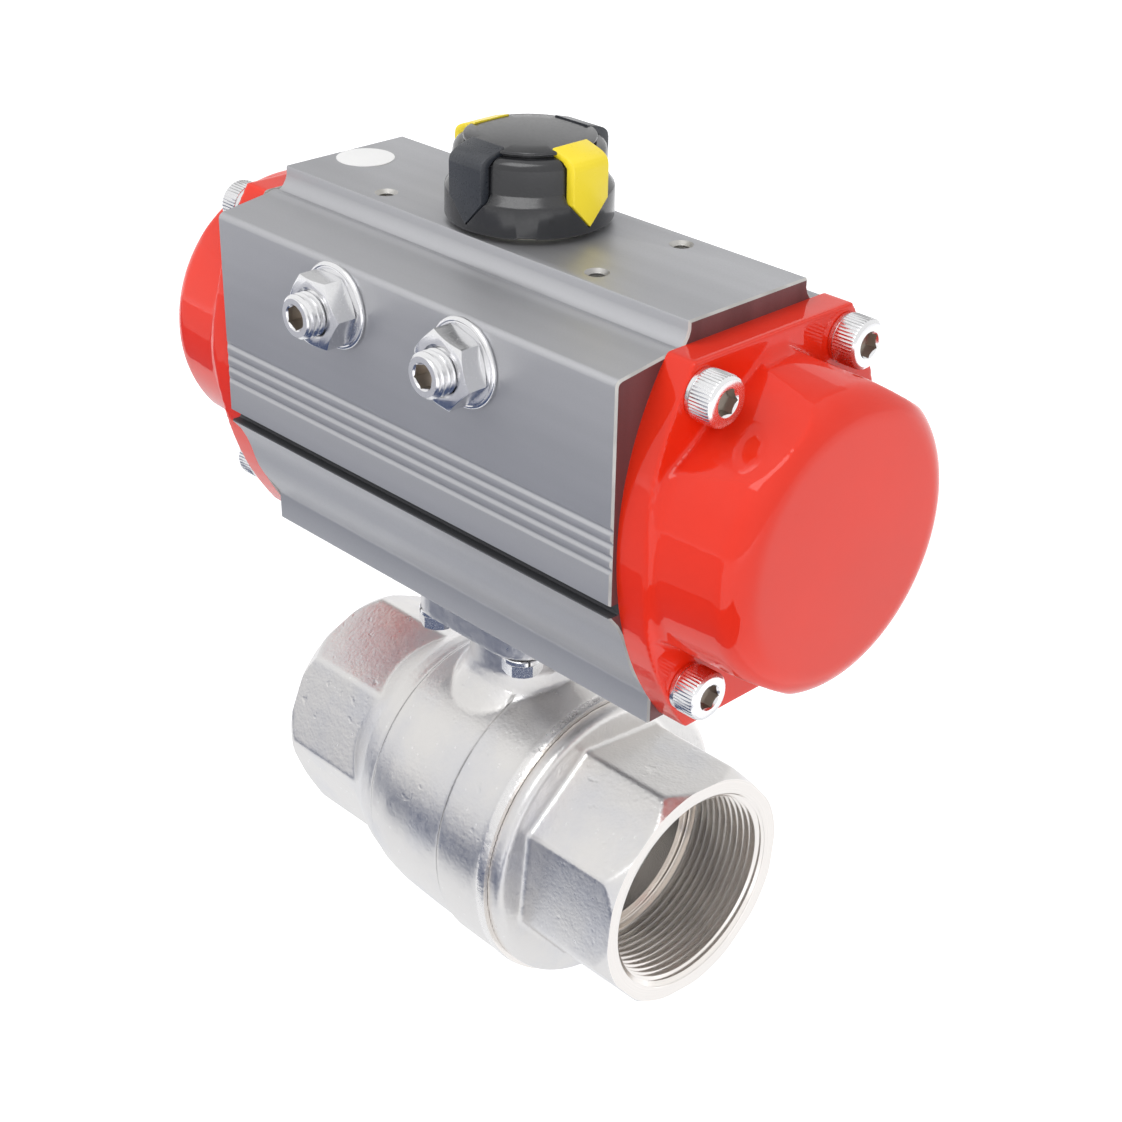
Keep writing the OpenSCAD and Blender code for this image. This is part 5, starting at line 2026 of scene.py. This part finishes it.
    def body(self) -> Piece:
        """Cast and machine the valve body.

        Returns:
            The body at its place.
        """
        top = LAYOUT.foot_z
        joint = self.joint_x
        out = LAYOUT.bolt_place
        barrel = place(turned("barrel", self.barrel, 128), way=Way.RIGHT)
        octagon = place(self.octagon(self.end_x - self.octagon_l - 1, 0.0), turn=180.0)
        casting = join([barrel, octagon, self.neck(), self.pad()], "casting")
        cast(casting, 0.68, 2, 0.5, 0.1)
        give(casting, self.finishes.cast, self.finishes.machined)
        tools = self.end_cutters(Way.LEFT)
        tools.append(place(rod(self.room_r, -12.0, joint + 1, steps=96), way=Way.RIGHT))
        tools.append(place(rod(46.5, joint, joint + 4, steps=96), way=Way.RIGHT))
        tools += [rod(*bore) for bore in self.stem_bores]
        tools.append(prism("top", rectangle(-40, 40, -40, 40), top, top + 6))
        for x in (-out, out):
            for y in (-out, out):
                tools.append(place(rod(3.3, top - 12, top + 3, steps=32), (x, y, 0)))
        work(casting, tools, self.finishes.machined)
        return join([casting, self.threaded_liner(Way.LEFT)], "valve_casting")

    def connector(self) -> Piece:
        """Cast and machine the screwed-in end.

        Returns:
            The end at its place.
        """
        joint = self.joint_x
        end = joint + self.disc_t
        r = self.disc_r
        disc = [
            (0, 24), (38.55, 24), (38.55, joint), (r - 0.2, joint), (r, joint + 0.3), (r, end - 1.6),
            (r - 0.5, end - 0.6), (r - 1.6, end), (0, end),
        ]
        shoulder = place(turned("disc", disc, 160), way=Way.RIGHT)
        casting = join([shoulder, self.octagon(end - 1, self.octagon_turn)], "casting")
        cast(casting, 0.6, 2, 0.5, 0.08)
        give(casting, self.finishes.cast, self.finishes.machined)
        inside = turned("inside", [(0, 10), (37.0, 10), (37.0, 27), (32.4, 30), (32.4, 35), (0, 35)], 96)
        back = turned("back", rectangle(38.5, 46, 10, joint), 128, closed=True)
        tools = self.end_cutters(Way.RIGHT) + [place(tool, way=Way.RIGHT) for tool in (inside, back)]
        work(casting, tools, self.finishes.machined)
        return join([casting, self.threaded_liner(Way.RIGHT)], "end_casting")

    def bolt(self) -> Piece:
        """Model one hex bolt, head down, its seat at the origin.

        Returns:
            The bolt.
        """
        head = give(prism("head", hexagon(self.bolt_across), -4.0, 0.0), self.finishes.steel)
        crown = turned("crown", [(0, -4.0), (4.7, -4.0), (5.9, -3.3), (5.9, 0), (0, 0)], 72)
        work(head, [crown], self.finishes.steel, Cut.SHARED)
        round_edges(head, upright, 0.18)
        shank = turned("shank", [(0, -0.5), (3.0, -0.5), (3.0, 20.4), (2.4, 21.3), (0, 21.3)], 32)
        return join([head, give(shank, self.finishes.steel)], "bolt")

    def spring_washer(self) -> Piece:
        """Model one split spring washer under the pad, its top at the origin.

        Returns:
            The washer.
        """
        t = self.washer_t
        profile = [
            (3.15, -t + 0.2), (3.3, -t), (5.4, -t), (5.6, -t + 0.25), (5.6, -0.25), (5.4, 0), (3.3, 0),
            (3.15, -0.2),
        ]
        washer = give(turned("split", profile, 60, closed=True), self.finishes.steel)
        gap = prism("gap", [(2.0, -0.7), (7.0, 0.1), (7.0, 0.8), (2.0, 0.0)], -3.0, 1.0)
        return work(washer, [gap], self.finishes.steel)

    def build(self) -> list[Piece]:
        """Build the valve's outer pieces.

        Returns:
            The settled pieces.
        """
        pieces = [
            settle(self.body(), "valve_casting", "housing", "valve_body", 38.0),
            settle(self.connector(), "end_casting", "housing", "end_connector", 38.0),
        ]
        bolt = self.bolt()
        washer = self.spring_washer()
        bolts = []
        washers = []
        out = LAYOUT.bolt_place
        under = LAYOUT.foot_z - self.pad_t
        for i, (x, y) in enumerate(((1, 1), (-1, 1), (-1, -1), (1, -1))):
            seat = (x * out, y * out, under - self.washer_t)
            bolts.append(place(copy_of(bolt), seat, turn=8.0 + 13.0 * i))
            washers.append(place(copy_of(washer), (x * out, y * out, under), turn=65.0 + 90.0 * i))
        bpy.data.objects.remove(bolt)
        bpy.data.objects.remove(washer)
        for own, name, node in (
            (bolts, "hex_bolts", "mounting_bolts"),
            (washers, "spring_washers", "mounting_washers"),
        ):
            pieces.append(settle(join(own, name), name, "housing", node))
        return pieces


@dataclass
class ReturnSprings:
    """Six coil springs in each cap, built at one fixed length, though the real ones shorten as the piston
    comes.
    """

    finishes: Finishes
    start: float = 46.05
    end: float = 107.95
    coil_r: float = 7.1
    wire_r: float = 1.28
    turns: int = 8
    stroke: float = 23.562

    def spring(self) -> Piece:
        """Model one coil along +Z with ground ends.

        Returns:
            The coil, from the start height to the end height.
        """
        ring = arc((self.coil_r, 0.0), self.wire_r, 0.0, 324.0, 9)
        wire = trace("wire", [(x, 0.0, z) for x, z in ring], filled=False)
        pitch = (self.end - self.start) / self.turns
        place(wire, (0, 0, self.start - 0.5 * pitch))
        wind(wire, pitch, self.turns + 1, 24, use_merge_vertices=False)
        return give(cut_flat(wire, self.start, self.end), self.finishes.spring)

    def build(self) -> list[Piece]:
        """Build both sets.

        Returns:
            The settled pieces.
        """
        pieces = []
        coil = self.spring()
        for side, word, way in SIDES:
            coils = []
            for y, z in polygon(6, LAYOUT.spring_circle):
                coils.append(place(copy_of(coil), (0, side * y, LAYOUT.bore_z + z), way))
            joined = join(coils, "coils")
            piece = settle(joined, f"coils_{word}", "housing", f"springs_{word}", 40.0)
            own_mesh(piece)
            pieces.append(piece)
        bpy.data.objects.remove(coil)
        return pieces


class InnerParts:
    """The CAD nodes that stay as they are and only get their finish."""

    def __init__(self, finishes: Finishes) -> None:
        """Say which finish each kept node gets.

        Args:
            finishes: the object's materials.
        """
        pairs = (
            (finishes.rubber, ("cap_gasket", "piston_seal")),
            (finishes.bearing, ("guide_band", "rack_pad")),
            (finishes.piston, ("piston",)),
            (finishes.seat, ("seat",)),
        )
        self.dressed = [
            (finishes.rubber, ["stop_seals", "shaft_seals"]),
            (finishes.brass, ["channel_plugs"]),
            (finishes.bearing, ["upper_bearing", "lower_bearing", "thrust_washer"]),
            (finishes.film, ["inspection_sticker"]),
            (finishes.sawn, ["centring_ring"]),
            (finishes.seat, ["body_gasket", "stem_thrust_washer", "stem_packing"]),
            (finishes.shaft, ["gland_ring", "pinion", "stop_cam", "cam_key", "stem"]),
            (finishes.spring, ["shaft_circlip", "disc_springs"]),
            (finishes.steel, ["indicator_screw", "stem_nut"]),
            (finishes.ball, ["ball"]),
        ]
        for finish, stems in pairs:
            self.dressed.append((finish, [f"{stem}_{side[1]}" for stem in stems for side in SIDES]))

    def dress(self) -> None:
        """Put each finish on its nodes."""
        for finish, names in self.dressed:
            for name in names:
                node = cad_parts[name]
                if node.data.materials:
                    for slot in node.material_slots:
                        slot.material = finish
                else:
                    node.data.materials.append(finish)
                log.info("%s: kept from the frame, %s", name, finish.name)


# Studio


@dataclass
class Studio:
    """Floor, soft light and the camera."""

    floor_z: float = -45.2
    eye: Point = (365.8, -344.9, 353.2)
    azimuth: float = 45.552
    elevation: float = 28.75
    roll: float = 1.12
    lens: float = 64.77
    floor_colour: Colour = (0.72, 0.72, 0.73)
    floor_glow: float = 0.7
    light: Colour = (0.42, 0.42, 0.43)
    lamps: list[tuple[str, Point, float, float]] = field(
        default_factory=lambda: [
            ("key", (-0.8, -1.1, 1.6), 2.0, 26.0),
            ("fill", (1.7, -0.9, 0.7), 1.6, 20.0),
            ("back", (-0.3, 1.6, 1.5), 1.4, 8.0),
        ]
    )
    # Cards seen only in reflections: a grey flag far in front; a dark bluish sheet of painted shade where the
    # floor near the object lies in its shadow; and a nearly white sheet of painted light over the shadowed
    # floor under the object.
    floor_cards: list[tuple[str, list[Flat], Colour]] = field(
        default_factory=lambda: [
            ("far_card", rectangle(-1.4, 0.1, -1.6, -0.25), (0.47, 0.475, 0.52)),
            ("near_card", rectangle(-1.0, 0.3, -0.25, -0.1), (0.01, 0.035, 0.12)),
            ("under_card", rectangle(-0.5, 0.16, -0.1, 0.12), (0.97, 0.98, 1.0)),
        ]
    )
    soft_box_z: float = 1.15
    back_card_z: float = 1.6

    def floor(self) -> None:
        """Lay the pale floor: it keeps the shadow and is white where none falls."""
        bpy.ops.object.select_all(action="DESELECT")
        bpy.ops.mesh.primitive_plane_add(size=12.0, location=(0, 0, self.floor_z * MM))
        floor = bpy.context.object
        floor.name = "studio_floor"
        focus(floor)
        bpy.ops.object.transform_apply(location=True)
        material = bpy.data.materials.new("studio_floor")
        material.use_nodes = True
        tree = material.node_tree
        shader = tree.nodes["Principled BSDF"]
        shader.inputs["Base Color"].default_value = (*self.floor_colour, 1.0)
        shader.inputs["Roughness"].default_value = 1.0
        shader.inputs["Specular IOR Level"].default_value = 0.0
        glow = self.seen(tree)
        tree.links.new(times(tree, glow, self.floor_glow), shader.inputs["Emission Strength"])
        shader.inputs["Emission Color"].default_value = (1.0, 1.0, 1.0, 1.0)
        floor.data.materials.append(material)

    def seen(self, tree: Tree) -> object:
        """A socket that is 1 for camera, glossy and transmission rays.

        Args:
            tree: the node tree.

        Returns:
            The socket.
        """
        path = add(tree, "LightPath").outputs
        both = math_node(tree, "MAXIMUM", path["Is Camera Ray"], path["Is Glossy Ray"])
        return math_node(tree, "MAXIMUM", both, path["Is Transmission Ray"])

    def world(self) -> None:
        """Make the world: soft light on the object, white behind it."""
        world = bpy.data.worlds.new("studio")
        bpy.context.scene.world = world
        world.use_nodes = True
        tree = world.node_tree
        back = tree.nodes["Background"]
        colour = blend_colours(tree, self.seen(tree), self.light, (1.0, 1.0, 1.0))
        tree.links.new(colour, back.inputs["Color"])
        back.inputs["Strength"].default_value = 1.0

    def card(self, name: str, outline: Sequence[Flat], height: float, colour: Colour) -> None:
        """Hang a level card that only shows in reflections.

        Args:
            name: its name.
            outline: its corners as (x, y), in metres.
            height: its height.
            colour: its colour.
        """
        card = trace(name, [(x, y, height) for x, y in outline])
        material = bpy.data.materials.new(name)
        material.use_nodes = True
        tree = material.node_tree
        shader = tree.nodes["Principled BSDF"]
        shader.inputs["Base Color"].default_value = (0.0, 0.0, 0.0, 1.0)
        shader.inputs["Emission Color"].default_value = (*colour, 1.0)
        shader.inputs["Emission Strength"].default_value = 1.0
        card.data.materials.append(material)
        card.visible_camera = False
        card.visible_diffuse = False
        card.visible_shadow = False

    def lights(self) -> None:
        """Hang the soft lamps, each aimed at the middle of the object."""
        for name, at, size, power in self.lamps:
            lamp = bpy.data.lights.new(name, "AREA")
            lamp.size = size
            lamp.energy = power
            holder = bpy.data.objects.new(name, lamp)
            bpy.context.scene.collection.objects.link(holder)
            holder.location = at
            aim = Vector((0.0, 0.0, 0.08)) - Vector(at)
            holder.rotation_euler = aim.to_track_quat("-Z", "Y").to_euler()
            holder.visible_glossy = False

    def camera(self) -> None:
        """Set the camera at the photograph's angle."""
        a = math.radians(self.azimuth)
        e = math.radians(self.elevation)
        r = math.radians(self.roll)
        back = Vector((math.sin(a) * math.cos(e), -math.cos(a) * math.cos(e), math.sin(e)))
        right = Vector((math.cos(a), math.sin(a), 0.0))
        up = back.cross(right)
        across = right * math.cos(r) + up * math.sin(r)
        above = up * math.cos(r) - right * math.sin(r)
        lens = bpy.data.cameras.new("camera")
        lens.lens = self.lens
        lens.sensor_width = 36.0
        lens.clip_start = 0.01
        holder = bpy.data.objects.new("camera", lens)
        bpy.context.scene.collection.objects.link(holder)
        turn = Matrix((across, above, back)).transposed().to_4x4()
        holder.matrix_world = Matrix.Translation(Vector(self.eye) * MM) @ turn
        bpy.context.scene.camera = holder

    def build(self) -> None:
        """Set up the whole studio."""
        bpy.context.scene.view_settings.view_transform = "Standard"
        self.floor()
        self.world()
        for name, outline, colour in self.floor_cards:
            self.card(name, outline, self.floor_z * MM + 0.003, colour)
        self.card("soft_box", rectangle(-0.1, 0.7, -1.1, -0.25), self.soft_box_z, (3.6, 3.6, 3.6))
        back = [(-4.2, 0.45), (-0.3, 0.45), (-0.3, 1.7), (-4.2, 2.9)]
        self.card("back_card", back, self.back_card_z, (0.47, 0.47, 0.47))
        self.lights()
        self.camera()
        log.info("studio set")


def main() -> None:
    """Build every sub-assembly in order and set up the studio."""
    studio = Studio()
    studio.build()
    finishes = Finishes(Effects())
    InnerParts(finishes).dress()
    ActuatorBody(finishes).build()
    EndCaps(finishes).build()
    TravelStops(finishes).build()
    Indicator(finishes).build()
    Valve(finishes).build()
    ReturnSprings(finishes).build()


if __name__ == "__main__":
    main()
